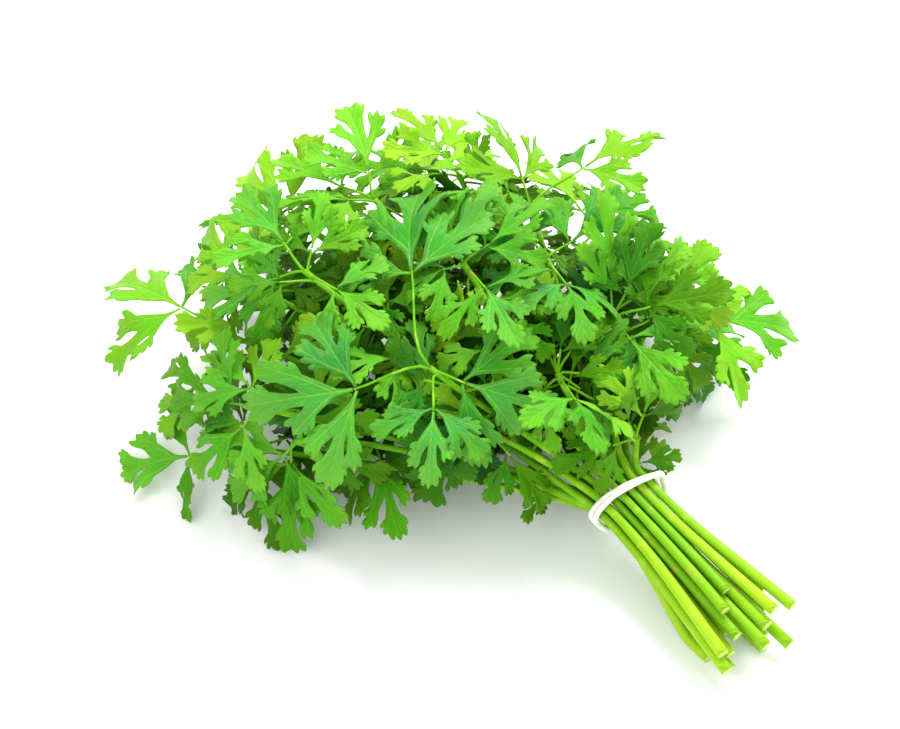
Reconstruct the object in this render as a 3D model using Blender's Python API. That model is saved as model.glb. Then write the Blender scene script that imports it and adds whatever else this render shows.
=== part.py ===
"""A bunch of flat-leaf parsley: leafy stems held by a doubled rubber band, lying on its side.

Metres, +Z up. The cut ends point to +X and the leaves to -X, and the lowest stalks and leaves lie on z = 0.
The bunch is planned in millimetres. Each leafy stem, or sprig, is one solid: a stalk that forks into
branches, each with a leaflet at its end and one to each side.
"""
import math
import random

import bmesh
import bpy
import numpy as np
from mathutils.bvhtree import BVHTree

MM = 0.001
SEED = 13

# ---------------------------------------------------------------- driving dimensions, in millimetres
NECK_HEIGHT = 26.0            # middle of the stalks where the band holds them
# Stalks side by side in each row, from the lowest row up, and the first one's place in pitches.
NECK_ROWS = ((5, -2.0), (6, -2.5), (6, -3.0), (5, -2.5), (4, -1.0))
NECK_PITCH = 4.1              # spacing of the stalks under the band
NECK_HALF = 5.0               # the stalks run side by side this far to each side of the band
NECK_RADII = (1.4, 1.75)      # thinnest and thickest stalk there
FORK_RADIUS = 0.95
NECK_FLARE = 0.022            # how the stalks turn apart past the band, for each millimetre off the middle
NECK_RUN = 60.0               # how far the longer stalks keep the way they had in the band
END_REACH = (46.0, 78.0)      # from the band to the cut ends
END_SWAY = (2.0, 1.2)         # how far a cut end may lie aside and up or down from its even place
CUT_STEPS = 4                 # points from the band to a cut end
LEVEL_WITHIN = 0.06           # what comes this near the surface is levelled to lie on it
FOOT_RUN = 12.0               # length of the lowest stalks that lies level on the surface
END_SLOPE = 0.175             # fall of the stalks from the band to their ends
END_SPREAD_Y = 0.01           # how the stalks part for each millimetre past the band
END_SPREAD_Z = 0.008
END_GROWTH = 0.0045           # how they thicken for each millimetre past the band
STALK_TRIES = 80              # how often another way is tried for a stalk, a branch and a leaflet
BRANCH_TRIES = 40
LEAF_TRIES = 48
STALK_SIDES = 1               # bevel resolution: six sides
BRANCH_SPACING = 1.3          # how far behind one another the branches leave the stalk
BRANCH_HALF = 0.6             # half the width of a branch
BRANCH_ROOM = 1.15            # what a branch and its hub need on each side of their middle line
STALK_STEPS = 6
LONG_BRANCH = 20.0            # a branch longer than this is curved
LONG_STEPS = 3

LEAF_THICK = 0.8
PRESS_DEPTH = 5.0             # how far a level leaflet may be pressed up by the surface
CLEARANCE = 0.35              # kept between one sprig and the next
STALK_REACH = 3.0             # further than any stalk's surface and clearance lie from its middle line
FINE_STEP = 1.0               # spacing of the points that stand for a stalk when it is kept clear

CROWN_CENTRE = np.array((-100.0, -8.0, 0.0))
CROWN_RADII = np.array((112.0, 108.0, 98.0))
FACING = np.array((0.35, -0.25, 0.9))   # leaves turn their upper sides this way, up and back to the stems

# Half of a leaflet's outline beyond its foot, as (across, along) in leaflet lengths: the side lobe, the
# cut above it and the shoulder of the middle lobe.
HALF_LEAF = ((0.36, 0.60), (0.11, 0.50), (0.19, 0.80))
LEAF_TIP = (0.0, 1.0)
LEAF_HEART = (0.0, 0.45)
# The small plate that a branch's three leaflets grow from: half its width, and its back and front edges.
HUB_HALF = 1.0
HUB_BACK = 2.4
HUB_FRONT = 0.4
HUB_REACH = 6.0
HUB_ROLL = 30.0               # how far a branch's leaflets may roll to either side, in degrees
SIDE_SWING = 64.0             # how far the side leaflets turn from the middle one, in degrees
# A branch's leaflets: the way each turns, its share of the full length, and how wide its left and right
# halves are. The halves that face the middle leaflet are narrower.
LEAFLETS = ((0, 1.0, (1.0, 1.0)), (1, 0.84, (1.0, 0.8)), (-1, 0.84, (0.8, 1.0)))

# Each sprig: the place of its fork, then its branches as (heading, climb, reach, leaflet length).
# A heading of 0 runs on from the stems, and a positive one turns to +Y. Angles are in degrees.
SPRIGS = (
    ((-64, -45, 80), ((30, 14, 42, 46), (-58, -12, 30, 44), (150, -8, 12, 38))),
    ((-37, -6, 72), ((35, 20, 12, 34), (118, -10, 14, 34), (-75, -25, 10, 28))),
    ((-45, 50, 55), ((118, -12, 28, 44), (80, 32, 12, 34), (150, -35, 12, 28))),
    ((-106, 41, 78), ((20, 36, 12, 36), (-30, 30, 12, 32), (92, 18, 28, 36))),
    ((-139, -76, 54), ((-10, -8, 36, 48), (-72, -36, 26, 30), (30, 5, 14, 32))),
    ((-146, -5, 80), ((25, 36, 12, 34), (-20, 2, 18, 36), (-60, 20, 14, 30))),
    ((-73, 20, 88), ((0, 14, 12, 32), (95, 20, 12, 30), (-62, -12, 10, 26))),
    ((-45, 29, 74), ((35, 44, 10, 40), (100, 28, 12, 32), (-70, -32, 10, 26))),
    ((-114, -96, 27), ((-35, -26, 28, 40), (-160, -34, 12, 28), (20, 10, 14, 30))),
    ((-92, -88, 45), ((-118, -58, 10, 38), (150, -20, 10, 28), (-65, -40, 12, 32))),
    ((-42, -34, 54), ((-44, -4, 12, 38), (168, -40, 10, 26), (-25, 38, 8, 26))),
    ((-86, -58, 34), ((-42, -36, 12, 32), (110, -30, 10, 28), (-10, -18, 12, 28))),
    ((-168, -22, 60), ((0, 2, 14, 40), (48, -10, 14, 36), (-40, 8, 14, 36))),
    ((-133, -50, 80), ((0, 24, 14, 34), (-50, -15, 14, 36), (45, 36, 10, 30))),
    ((-107, -92, 54), ((-24, -16, 14, 36), (-70, -36, 12, 32), (0, 18, 12, 30))),
    ((-150, -62, 64), ((0, 8, 12, 34), (-66, -30, 12, 32), (-108, -40, 22, 38))),
    ((-10, 11, 46), ((65, 50, 10, 34), (-70, 10, 10, 26), (0, 56, 10, 28))),
    ((-90, -7, 90), ((15, 30, 12, 34), (95, 24, 12, 32), (-68, 14, 10, 28))),
    ((-135, 29, 80), ((0, 32, 12, 30), (-45, 10, 12, 30), (105, 26, 12, 30))),
    ((-96, -38, 68), ((35, 20, 12, 32), (-40, 12, 12, 32), (120, 24, 12, 30))),
    ((-64, -16, 86), ((70, 30, 10, 28), (118, 2, 10, 26), (-25, 16, 10, 26))),
    ((-50, 60, 30), ((97, -12, 16, 36), (140, -42, 12, 30), (60, 20, 12, 32))),
    ((-105, 78, 42), ((50, -12, 16, 40), (100, -24, 14, 36), (10, 12, 14, 36))),
    ((-158, 44, 50), ((20, -14, 16, 40), (65, -22, 14, 36), (-30, 10, 14, 34))),
    ((-165, -8, 20), ((0, -12, 16, 42), (50, -10, 14, 38), (-45, -10, 14, 38))),
    ((-82, 88, 18), ((75, -14, 14, 36), (120, -18, 14, 34), (30, 4, 12, 32))),
)
# Each sprig that forks clear of the band has one more branch, in the widest gap between the others.
FILLER_FROM = -20.0
FILLER_CLIMB = (-10.0, 25.0)
FILLER_REACH = (12.0, 18.0)
FILLER_LEAF = (28.0, 34.0)

BAND_STRAND = 2.0             # thickness of the rubber band's strand
BAND_SPLIT = 3.0              # how far its two turns part on the -Y side
BAND_STACK = 2.3              # how far they lie over one another on the +Y side
BAND_SKEW = 0.2               # how far it slants along the stalks for each millimetre across
BAND_STEPS = 22


# ---------------------------------------------------------------- directions, curves and leaf surfaces
def unit(vector):
    vector = np.asarray(vector, float)
    return vector / np.linalg.norm(vector)


def heading(turn, climb):
    """Direction from -X, turned towards +Y and raised, both in degrees."""
    turn, climb = math.radians(turn), math.radians(climb)
    return np.array((-math.cos(turn) * math.cos(climb), math.sin(turn) * math.cos(climb), math.sin(climb)))


def turned(vector, axis, degrees):
    """The vector turned about a unit axis."""
    angle = math.radians(degrees)
    side = np.cross(axis, vector)
    return vector * math.cos(angle) + side * math.sin(angle) + axis * axis.dot(vector) * (1 - math.cos(angle))


def sweep(start, start_pull, end, end_pull, count):
    """Points along a smooth curve that leaves start along one pull and comes to end along the other."""
    t = np.linspace(0.0, 1.0, count)[:, None]
    return ((2 * t**3 - 3 * t**2 + 1) * start + (t**3 - 2 * t**2 + t) * start_pull
            + (3 * t**2 - 2 * t**3) * end + (t**3 - t**2) * end_pull)


def face_across(point, along, roll):
    """The way a leaf's upper side faces: out of the crown and to the light, square to the leaf."""
    out = unit((point - CROWN_CENTRE) / CROWN_RADII**2)
    face = unit(out + FACING)
    face = unit(face - along * face.dot(along))
    return turned(face, along, roll)


class Leaf:
    """One leaflet's foot, place, size and bend."""

    def __init__(self, feet, length, halves, draw):
        self.feet = feet
        self.root = (feet[0] + feet[1]) / 2
        self.length = length
        self.halves = halves
        self.width = draw.uniform(0.82, 1.03)
        self.droop = draw.uniform(0.35, 0.95)
        self.fold = draw.uniform(0.05, 0.45)
        self.curl = draw.uniform(0.15, 0.75)
        self.wave = draw.uniform(0.10, 0.30)
        self.phase = draw.uniform(0.0, 2 * math.pi)
        self.twist = draw.uniform(-0.45, 0.45)

    def point(self, along, face):
        self.along = along
        self.face = unit(face - along * face.dot(along))

    def bend(self, flat):
        """Flat leaf points, as (across, along) in leaflet lengths, on the bent leaf in millimetres."""
        across = flat[:, 0] * self.length * self.width
        along = flat[:, 1] * self.length
        part = flat[:, 1]
        swing = self.droop / self.length
        lift = self.fold * (np.sqrt(across**2 + 1) - 1) - self.curl * across**2 / self.length
        lift = lift + self.wave * np.sin(3.0 * math.pi * part + self.phase) * across
        twist = self.twist * part
        side = across * np.cos(twist) - lift * np.sin(twist)
        rise = across * np.sin(twist) + lift * np.cos(twist)
        angle = swing * along
        forward = np.sin(angle) / swing + rise * np.sin(angle)
        height = (np.cos(angle) - 1) / swing + rise * np.cos(angle)
        right = np.cross(self.along, self.face)
        return self.root + np.outer(side, right) + np.outer(forward, self.along) + np.outer(height, self.face)

    def outline(self):
        """The flat outline beyond the foot, up the right side, over the tip and down the left side."""
        left, right = self.halves
        going = [(x * right, y) for x, y in HALF_LEAF]
        coming = [(-x * left, y) for x, y in reversed(HALF_LEAF)]
        return np.array(going + [LEAF_TIP] + coming)


class Hub:
    """Where a branch ends: its direction, the way it faces, and the corners that its leaflets grow from."""

    def __init__(self, point, way, face):
        self.point = point
        self.way = way
        self.face = face
        right = np.cross(way, face)
        back = point - way * HUB_BACK
        front = point + way * HUB_FRONT
        self.corners = [back - right * BRANCH_HALF, back + right * BRANCH_HALF,
                        front - right * HUB_HALF, front + right * HUB_HALF]

    def holds(self, place):
        """Whether a place is so near the hub that it is the hub's own branch."""
        return np.linalg.norm(self.point - place) < HUB_REACH

    def feet(self, side):
        """The right and left foot of the leaflet that turns left (1), right (-1) or runs on (0)."""
        back_left, back_right, front_left, front_right = self.corners
        return {1: (front_left, back_left), 0: (front_right, front_left), -1: (back_right, front_right)}[side]


def fan_normals(points, fan):
    """The way each point of a fan of triangles faces."""
    normals = np.zeros_like(points)
    for a, b, c in fan:
        area = np.cross(points[b] - points[a], points[c] - points[a])
        for corner in (a, b, c):
            normals[corner] += area
    return normals / np.linalg.norm(normals, axis=1)[:, None]


def leaf_surface(leaf, grow=1.0):
    """Points, facings and triangles of a leaflet's middle surface; its two feet come first."""
    flat = np.vstack((leaf.outline(), LEAF_HEART))
    flat = (flat - LEAF_HEART) * grow + LEAF_HEART
    points = np.vstack((leaf.feet, leaf.bend(flat)))
    heart = len(points) - 1
    ring = [0, *range(2, heart), 1]
    fan = [(heart, a, b) for a, b in zip(ring, ring[1:] + ring[:1])]
    return points, fan_normals(points, fan), fan


def thicken(points, normals, faces, thickness):
    """Closes a surface into a thin blade, alike on both faces, and presses it flat where it meets z = 0."""
    upper = points + normals * thickness / 2
    lower = points - normals * thickness / 2
    upper[:, 2] = np.maximum(upper[:, 2], LEAF_THICK)
    lower[:, 2] = np.maximum(lower[:, 2], 0.0)
    count = len(points)
    edges = [edge for face in faces for edge in zip(face, face[1:] + face[:1])]
    rim = [(a, b) for a, b in edges if (b, a) not in set(edges)]
    solid = [*faces, *(tuple(corner + count for corner in reversed(face)) for face in faces)]
    for a, b in rim:
        solid += [(b, a, a + count), (b, a + count, b + count)]
    return np.vstack((upper, lower)), solid


def blade(hub, leaf, thickness=LEAF_THICK, grow=1.0):
    """Corners and faces of one leaflet by itself."""
    points, normals, fan = leaf_surface(leaf, grow)
    normals[:2] = hub.face
    return thicken(points, normals, fan, thickness)


def branch_strip(branch, hub):
    """Corner pairs, left and right, along a branch from its fork up to its hub, and the way each faces."""
    corners, normals = [], []
    for here, onward in zip(branch, branch[1:]):
        way = unit(onward - here)
        right = unit(np.cross(way, hub.face))
        corners += [here - right * BRANCH_HALF, here + right * BRANCH_HALF]
        normals += [np.cross(right, way)] * 2
    return corners, normals


def spray(branch, hub, leaves):
    """Corners and faces of a branch, its hub and its leaflets, as one blade."""
    points, normals = branch_strip(branch, hub)
    base = len(points)
    faces = []
    for left in range(0, base, 2):
        faces += [(left, left + 1, left + 3), (left, left + 3, left + 2)]
    back_left, back_right, front_left, front_right = range(base, base + 4)
    faces += [(back_left, back_right, front_right), (back_left, front_right, front_left)]
    points += hub.corners
    normals += [hub.face] * 4
    feet = {1: (front_left, back_left), 0: (front_right, front_left), -1: (back_right, front_right)}
    for side, leaf in leaves:
        own, facing, fan = leaf_surface(leaf)
        names = [*feet[side], *range(len(points), len(points) + len(own) - 2)]
        points += list(own[2:])
        normals += list(facing[2:])
        faces += [tuple(names[corner] for corner in face) for face in fan]
    return thicken(np.array(points), np.array(normals), faces, LEAF_THICK)


# ---------------------------------------------------------------- keeping the sprigs clear of each other
def fine_points(points, radii):
    """Closely spaced points along a stalk, each with the stalk's radius there."""
    steps = np.linalg.norm(np.diff(points, axis=0), axis=1)
    along = np.concatenate(([0.0], np.cumsum(steps)))
    marks = np.arange(0.0, along[-1], FINE_STEP)
    return np.column_stack([np.interp(marks, along, column) for column in (*points.T, radii)])


def near_box(points, low, high):
    """Those of a stalk's points that lie in a box, give or take the thickest stalk."""
    inside = np.all((points[:, :3] > low - STALK_REACH) & (points[:, :3] < high + STALK_REACH), axis=1)
    return points[inside]


class Crown:
    """What has been placed so far. Each new stalk or leaflet has to fit clear of the other sprigs."""

    def __init__(self):
        self.stalks = []
        self.blades = []

    def stalk_fits(self, sprig, fine):
        low, high = fine[:, :3].min(axis=0), fine[:, :3].max(axis=0)
        for other, points in self.stalks:
            near = near_box(points, low, high)
            if other == sprig or not len(near):
                continue
            apart = np.linalg.norm(fine[:, None, :3] - near[None, :, :3], axis=2)
            if (apart - fine[:, None, 3] - near[None, :, 3]).min() < CLEARANCE:
                return False
        for _, box_low, box_high, tree, _ in self.blades:
            for x, y, z, radius in near_box(fine, box_low, box_high):
                if tree.find_nearest((x, y, z), radius + CLEARANCE)[0] is not None:
                    return False
        return True

    def blade_fits(self, sprig, hub, leaf):
        if leaf_surface(leaf)[0][:, 2].min() < -PRESS_DEPTH * abs(leaf.face[2]):
            return False
        corners, faces = blade(hub, leaf, LEAF_THICK + 2 * CLEARANCE, 1.03)
        low, high = corners.min(axis=0), corners.max(axis=0)
        tree = BVHTree.FromPolygons(corners.tolist(), faces)
        for other, points in self.stalks:
            for x, y, z, radius in near_box(points, low, high):
                if other == sprig and hub.holds((x, y, z)):
                    continue
                if tree.find_nearest((x, y, z), radius + CLEARANCE / 2)[0] is not None:
                    return False
        own = None
        for other, box_low, box_high, whole, outer in self.blades:
            if np.any(box_low > high) or np.any(box_high < low):
                continue
            if other != sprig:
                if whole.overlap(tree):
                    return False
                continue
            own = own or outer_tree(corners, faces)
            if outer.overlap(own):
                return False
        return True

    def add_stalk(self, sprig, fine):
        self.stalks.append((sprig, fine))

    def add_blade(self, sprig, hub, leaf):
        corners, faces = blade(hub, leaf)
        tree = BVHTree.FromPolygons(corners.tolist(), faces)
        outer = outer_tree(corners, faces)
        self.blades.append((sprig, corners.min(axis=0), corners.max(axis=0), tree, outer))


def outer_tree(corners, faces):
    """The leaflet without its foot, where it grows together with its neighbours."""
    half = len(corners) // 2
    foot = {0, 1, half, half + 1}
    return BVHTree.FromPolygons(corners.tolist(), [face for face in faces if not foot & set(face)])


# ---------------------------------------------------------------- the plan of the bunch
def neck_places():
    """Offsets (across, up) of the stalks under the band, packed in rows, lowest row first."""
    rows = []
    middle = (len(NECK_ROWS) - 1) / 2
    for row, (count, first) in enumerate(NECK_ROWS):
        rise = (row - middle) * NECK_PITCH * math.sin(math.radians(60))
        rows.append([((first + i) * NECK_PITCH, rise) for i in range(count)])
    return rows


def share_neck():
    """Gives each sprig its place under the band: low forks in the low rows, and left forks to the left."""
    neck = np.array((0.0, 0.0, NECK_HEIGHT))

    def elevation(index):
        x, y, z = SPRIGS[index][0] - neck
        return math.atan2(z, math.hypot(x, y))

    def side(index):
        x, y, _ = SPRIGS[index][0] - neck
        return math.atan2(y, -x)

    waiting = sorted(range(len(SPRIGS)), key=elevation)
    places = {}
    for row in neck_places():
        for place, index in zip(row, sorted(waiting[:len(row)], key=side)):
            places[index] = place
        waiting = waiting[len(row):]
    return places


def plan_cut(crown, sprig, place, draw):
    """A stalk from its cut end to the band, with its radii: it bends aside, and the lowest row lies flat."""
    across, up = place
    radius = draw.uniform(*NECK_RADII)
    reach = draw.uniform(*END_REACH)
    past = reach - NECK_HALF
    end_radius = radius * (1 + END_GROWTH * reach)
    flat = end_radius * math.cos(math.pi / 6)
    throat = np.array((NECK_HALF, across, NECK_HEIGHT + up - END_SLOPE * NECK_HALF))
    for attempt in range(STALK_TRIES):
        aside, lift = (draw.uniform(-most, most) for most in END_SWAY)
        y = across * (1 + END_SPREAD_Y * past) + aside
        z = NECK_HEIGHT - END_SLOPE * reach + up * (1 + END_SPREAD_Z * past) + lift
        if up > neck_places()[0][0][1]:
            end = np.array((reach, y, max(z, flat)))
            foot = []
        else:
            end = np.array((reach - FOOT_RUN, y, flat))
            foot = [np.array((reach, y + aside * FOOT_RUN / past, flat))]
        away = end - throat
        arrive = away + np.array((0.0, aside, 0.0))
        leave = np.array((away[0], 0.0, -END_SLOPE * away[0]))
        points = np.array([*foot, *sweep(end, -arrive, throat, -leave, CUT_STEPS)])
        radii = np.array([end_radius] * len(foot) + list(np.linspace(end_radius, radius, CUT_STEPS)))
        fine = fine_points(points, radii)
        if crown.stalk_fits(sprig, fine):
            crown.add_stalk(sprig, fine)
            return points, radii
    raise RuntimeError(f"the end of stalk {sprig + 1} finds no clear way")


def plan_stalk(crown, sprig, place, cut, draw):
    """A stalk from its cut end, straight through the band and on in a curve to its fork."""
    fork, branches = SPRIGS[sprig]
    fork = np.array(fork, float)
    cut_points, cut_radii = cut
    neck = np.array((-NECK_HALF, place[0], NECK_HEIGHT + place[1] + END_SLOPE * NECK_HALF))
    straight = unit((-1.0, NECK_FLARE * place[0], END_SLOPE + NECK_FLARE * place[1]))
    distance = np.linalg.norm(fork - neck)
    spread = unit(unit(fork - neck) + 0.4 * unit(sum(heading(turn, climb) for turn, climb, _, _ in branches)))
    radii = np.concatenate((cut_radii, np.linspace(cut_radii[-1], FORK_RADIUS, STALK_STEPS)))
    for attempt in range(STALK_TRIES):
        loose = attempt / STALK_TRIES
        start_pull = straight * min(distance, NECK_RUN) * (1 + loose * draw.uniform(-0.7, 0.7))
        sway = np.array([draw.uniform(-1.0, 1.0) for _ in range(3)])
        end_pull = unit(spread + loose * sway) * distance * (0.7 + loose * draw.uniform(-0.4, 0.4))
        curve = sweep(neck, start_pull, fork, end_pull, STALK_STEPS)
        points = np.vstack((cut_points, curve))
        fine = fine_points(points[len(cut_points) - 1:], radii[len(cut_points) - 1:])
        if crown.stalk_fits(sprig, fine):
            break
    else:
        raise RuntimeError(f"stalk {sprig + 1} finds no clear way")
    crown.add_stalk(sprig, fine)
    return points, radii, unit(end_pull)


def plan_branch(crown, sprig, fork, onward, spec, draw):
    """A branch from the fork to the hub of its three leaflets, or None where there is no room."""
    turn, climb, reach, length = spec
    for attempt in range(BRANCH_TRIES):
        loose = attempt / BRANCH_TRIES
        way = heading(turn + loose * draw.uniform(-35, 35), climb + loose * draw.uniform(-30, 30))
        run = reach * (1 - 0.4 * loose)
        steps = LONG_STEPS if reach > LONG_BRANCH else 1
        points = sweep(fork, onward * run * 0.8, fork + way * run, way * run, steps + 1)
        radii = np.full(steps + 1, BRANCH_ROOM)
        fine = fine_points(points, radii)
        if crown.stalk_fits(sprig, fine):
            crown.add_stalk(sprig, fine)
            return points, way, length
    return None


def filler(branches, draw):
    """One more branch for a sprig, in the widest gap between the others."""
    turns = sorted(turn for turn, _, _, _ in branches)
    gaps = [(after - before, before) for before, after in zip(turns, turns[1:] + [turns[0] + 360])]
    width, start = max(gaps)
    return (start + width / 2, draw.uniform(*FILLER_CLIMB), draw.uniform(*FILLER_REACH),
            draw.uniform(*FILLER_LEAF))


def plan_leaves(crown, sprig, branch, draw):
    """The hub of a branch and its leaflets: one that runs on and one to each side."""
    points, way, length = branch
    hub = Hub(points[-1], way, face_across(points[-1], way, draw.uniform(-HUB_ROLL, HUB_ROLL)))
    leaves = []
    for side, share, halves in LEAFLETS:
        leaf = Leaf(hub.feet(side), length * share * draw.uniform(0.92, 1.06), halves, draw)
        full = leaf.length
        swing = side * SIDE_SWING + draw.uniform(-8, 8)
        for attempt in range(LEAF_TRIES):
            loose = attempt / LEAF_TRIES
            along = turned(way, hub.face, swing + loose * draw.uniform(-30, 30))
            right = np.cross(along, hub.face)
            nod = loose * draw.uniform(-50, 50)
            face = turned(turned(hub.face, right, nod), along, loose * draw.uniform(-50, 50))
            leaf.length = full * (1 - 0.35 * loose)
            leaf.point(turned(along, right, nod), face)
            if crown.blade_fits(sprig, hub, leaf):
                crown.add_blade(sprig, hub, leaf)
                leaves.append((side, leaf))
                break
    return hub, leaves


def plan_bunch():
    """Every sprig's stalk, branches and sprays of leaflets, each clear of the other sprigs."""
    draw = random.Random(SEED)
    crown = Crown()
    band = band_route()
    crown.add_stalk("band", fine_points(np.array(band), np.full(len(band), BAND_STRAND / 2)))
    places = share_neck()
    cuts = [plan_cut(crown, sprig, places[sprig], draw) for sprig in range(len(SPRIGS))]
    stalks = [plan_stalk(crown, sprig, places[sprig], cuts[sprig], draw) for sprig in range(len(SPRIGS))]
    plan = []
    for sprig, (points, radii, onward) in enumerate(stalks):
        fork, branches = SPRIGS[sprig]
        if fork[0] < FILLER_FROM:
            branches = (*branches, filler(branches, draw))
        sprays = []
        for index, spec in enumerate(branches):
            fork = points[-1] - onward * BRANCH_SPACING * index
            branch = plan_branch(crown, sprig, fork, onward, spec, draw)
            if branch:
                sprays.append((branch[0], *plan_leaves(crown, sprig, branch, draw)))
        plan.append(((points, radii), sprays))
    return plan


# ---------------------------------------------------------------- making the solids
def clear_scene():
    for item in list(bpy.data.objects):
        bpy.data.objects.remove(item, do_unlink=True)


def collection(name):
    group = bpy.data.collections.new(name)
    bpy.context.scene.collection.children.link(group)
    return group


def material(name, colour, roughness):
    finish = bpy.data.materials.new(name)
    finish.use_nodes = True
    shader = finish.node_tree.nodes["Principled BSDF"]
    shader.inputs["Base Color"].default_value = (*colour, 1.0)
    shader.inputs["Roughness"].default_value = roughness
    shader.inputs["Metallic"].default_value = 0.0
    finish.diffuse_color = (*colour, 1.0)
    return finish


def weld(mesh):
    """Joins the loose caps of a tube to its wall."""
    work = bmesh.new()
    work.from_mesh(mesh)
    bmesh.ops.remove_doubles(work, verts=work.verts, dist=0.00001)
    bmesh.ops.recalc_face_normals(work, faces=work.faces)
    work.to_mesh(mesh)
    work.free()


def tube(name, group, points, radii, sides, closed=False):
    """A tapering tube along the points, as a mesh object."""
    curve = bpy.data.curves.new(name, "CURVE")
    curve.dimensions = "3D"
    curve.bevel_depth = max(radii) * MM
    curve.bevel_resolution = sides
    curve.use_fill_caps = not closed
    spline = curve.splines.new("POLY")
    spline.points.add(len(points) - 1)
    spline.use_cyclic_u = closed
    for knot, place, radius in zip(spline.points, points, radii):
        knot.co = (*(np.array(place) * MM), 1.0)
        knot.radius = radius / max(radii)
    guide = bpy.data.objects.new(name + "_guide", curve)
    group.objects.link(guide)
    bpy.context.view_layer.update()
    mesh = bpy.data.meshes.new_from_object(guide.evaluated_get(bpy.context.evaluated_depsgraph_get()))
    bpy.data.objects.remove(guide)
    bpy.data.curves.remove(curve)
    mesh.name = name
    weld(mesh)
    body = bpy.data.objects.new(name, mesh)
    group.objects.link(body)
    return body


def leaf_spray(name, group, branch, hub, leaves):
    corners, faces = spray(branch, hub, leaves)
    mesh = bpy.data.meshes.new(name)
    mesh.from_pydata((corners * MM).tolist(), [], faces)
    body = bpy.data.objects.new(name, mesh)
    group.objects.link(body)
    return body


def fuse(body, pieces):
    """Joins everything in a collection to the body, and removes the collection's objects."""
    union = body.modifiers.new("fuse", "BOOLEAN")
    union.operation = "UNION"
    union.solver = "MANIFOLD"
    union.operand_type = "COLLECTION"
    union.collection = pieces
    bpy.context.view_layer.update()
    mesh = bpy.data.meshes.new_from_object(body.evaluated_get(bpy.context.evaluated_depsgraph_get()))
    body.modifiers.clear()
    body.data = mesh
    for piece in list(pieces.objects):
        bpy.data.objects.remove(piece, do_unlink=True)
    bpy.data.collections.remove(pieces)


def keep_largest(mesh):
    """Drops loose scraps and the walls of sealed hollows, which are all smaller than the sprig itself."""
    work = bmesh.new()
    work.from_mesh(mesh)
    waiting = set(work.verts)
    bodies = []
    while waiting:
        edge = [waiting.pop()]
        found = set(edge)
        while edge:
            vert = edge.pop()
            for link in vert.link_edges:
                other = link.other_vert(vert)
                if other in waiting:
                    waiting.discard(other)
                    found.add(other)
                    edge.append(other)
        bodies.append(found)
    bodies.sort(key=len)
    loose = [vert for body in bodies[:-1] for vert in body]
    bmesh.ops.delete(work, geom=loose, context="VERTS")
    work.to_mesh(mesh)
    work.free()


def make_sprig(number, plan, group):
    """One leafy stem: stalk, branches and leaflets fused in one solid."""
    (points, radii), sprays = plan
    name = f"sprig_{number:02d}"
    body = tube(name, group, points, radii, STALK_SIDES)
    pieces = collection(name + "_pieces")
    for index, (branch, hub, leaves) in enumerate(sprays):
        leaf_spray(f"{name}_spray_{index}", pieces, branch, hub, leaves)
    fuse(body, pieces)
    keep_largest(body.data)
    shade = 0.85 + 0.3 * ((number * 7) % 11) / 10
    green = (0.045 * shade, 0.22 * shade, 0.012 * shade)
    body.data.materials.clear()
    body.data.materials.append(material(name + "_leaf", green, 0.45))
    return body


def band_route():
    """Middle line of the doubled band, drawn taut round the outermost stalks and closed after two turns."""
    offsets = np.array([place for row in neck_places() for place in row])
    room = NECK_RADII[1] + CLEARANCE + (BAND_STRAND + BAND_STACK) / 2
    points = []
    for step in range(2 * BAND_STEPS):
        turn = 2 * math.pi * step / BAND_STEPS
        out = np.array((math.cos(turn), math.sin(turn)))
        outermost = offsets[np.argmax(offsets @ out)]
        y, z = outermost + out * (room + BAND_STACK / 2 * math.cos(turn / 2))
        x = BAND_SPLIT / 2 * math.sin(turn / 2) + BAND_SKEW * y
        points.append((x, y, NECK_HEIGHT + z - END_SLOPE * x))
    return points


def make_band(group):
    points = band_route()
    body = tube("rubber_band", group, points, [BAND_STRAND / 2] * len(points), 1, closed=True)
    body.data.materials.clear()
    body.data.materials.append(material("natural_rubber", (0.80, 0.80, 0.70), 0.55))
    return body


def stand_on_origin(bodies):
    """Moves the bunch so that its box is centred over the origin, and levels the spots that it rests on."""
    corners = np.array([vert.co for body in bodies for vert in body.data.vertices])
    low, high = corners.min(axis=0), corners.max(axis=0)
    shift = np.array(((low[0] + high[0]) / 2, (low[1] + high[1]) / 2, low[2]))
    for body in bodies:
        for vert in body.data.vertices:
            place = np.array(vert.co) - shift
            if place[2] < LEVEL_WITHIN * MM:
                place[2] = 0.0
            vert.co = place


def build_bunch():
    clear_scene()
    group = collection("parsley_bunch")
    plan = plan_bunch()
    bodies = [make_sprig(number, sprig, group) for number, sprig in enumerate(plan, start=1)]
    bodies.append(make_band(group))
    stand_on_origin(bodies)


if __name__ == "__main__":
    build_bunch()
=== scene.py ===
"""Looks of a bunch of flat-leaf parsley: veined leaflets, ridged stalks and an off-white rubber band.

Each leafy stem of the frame is planned again by the rule that it was built by, in millimetres, and its
leaflets and stalks are then modelled finely in the same places. The cut ends point to +X.
"""
import math
import random

import bmesh
import bpy
import numpy as np
from mathutils import Matrix, Vector
from mathutils.bvhtree import BVHTree


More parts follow.
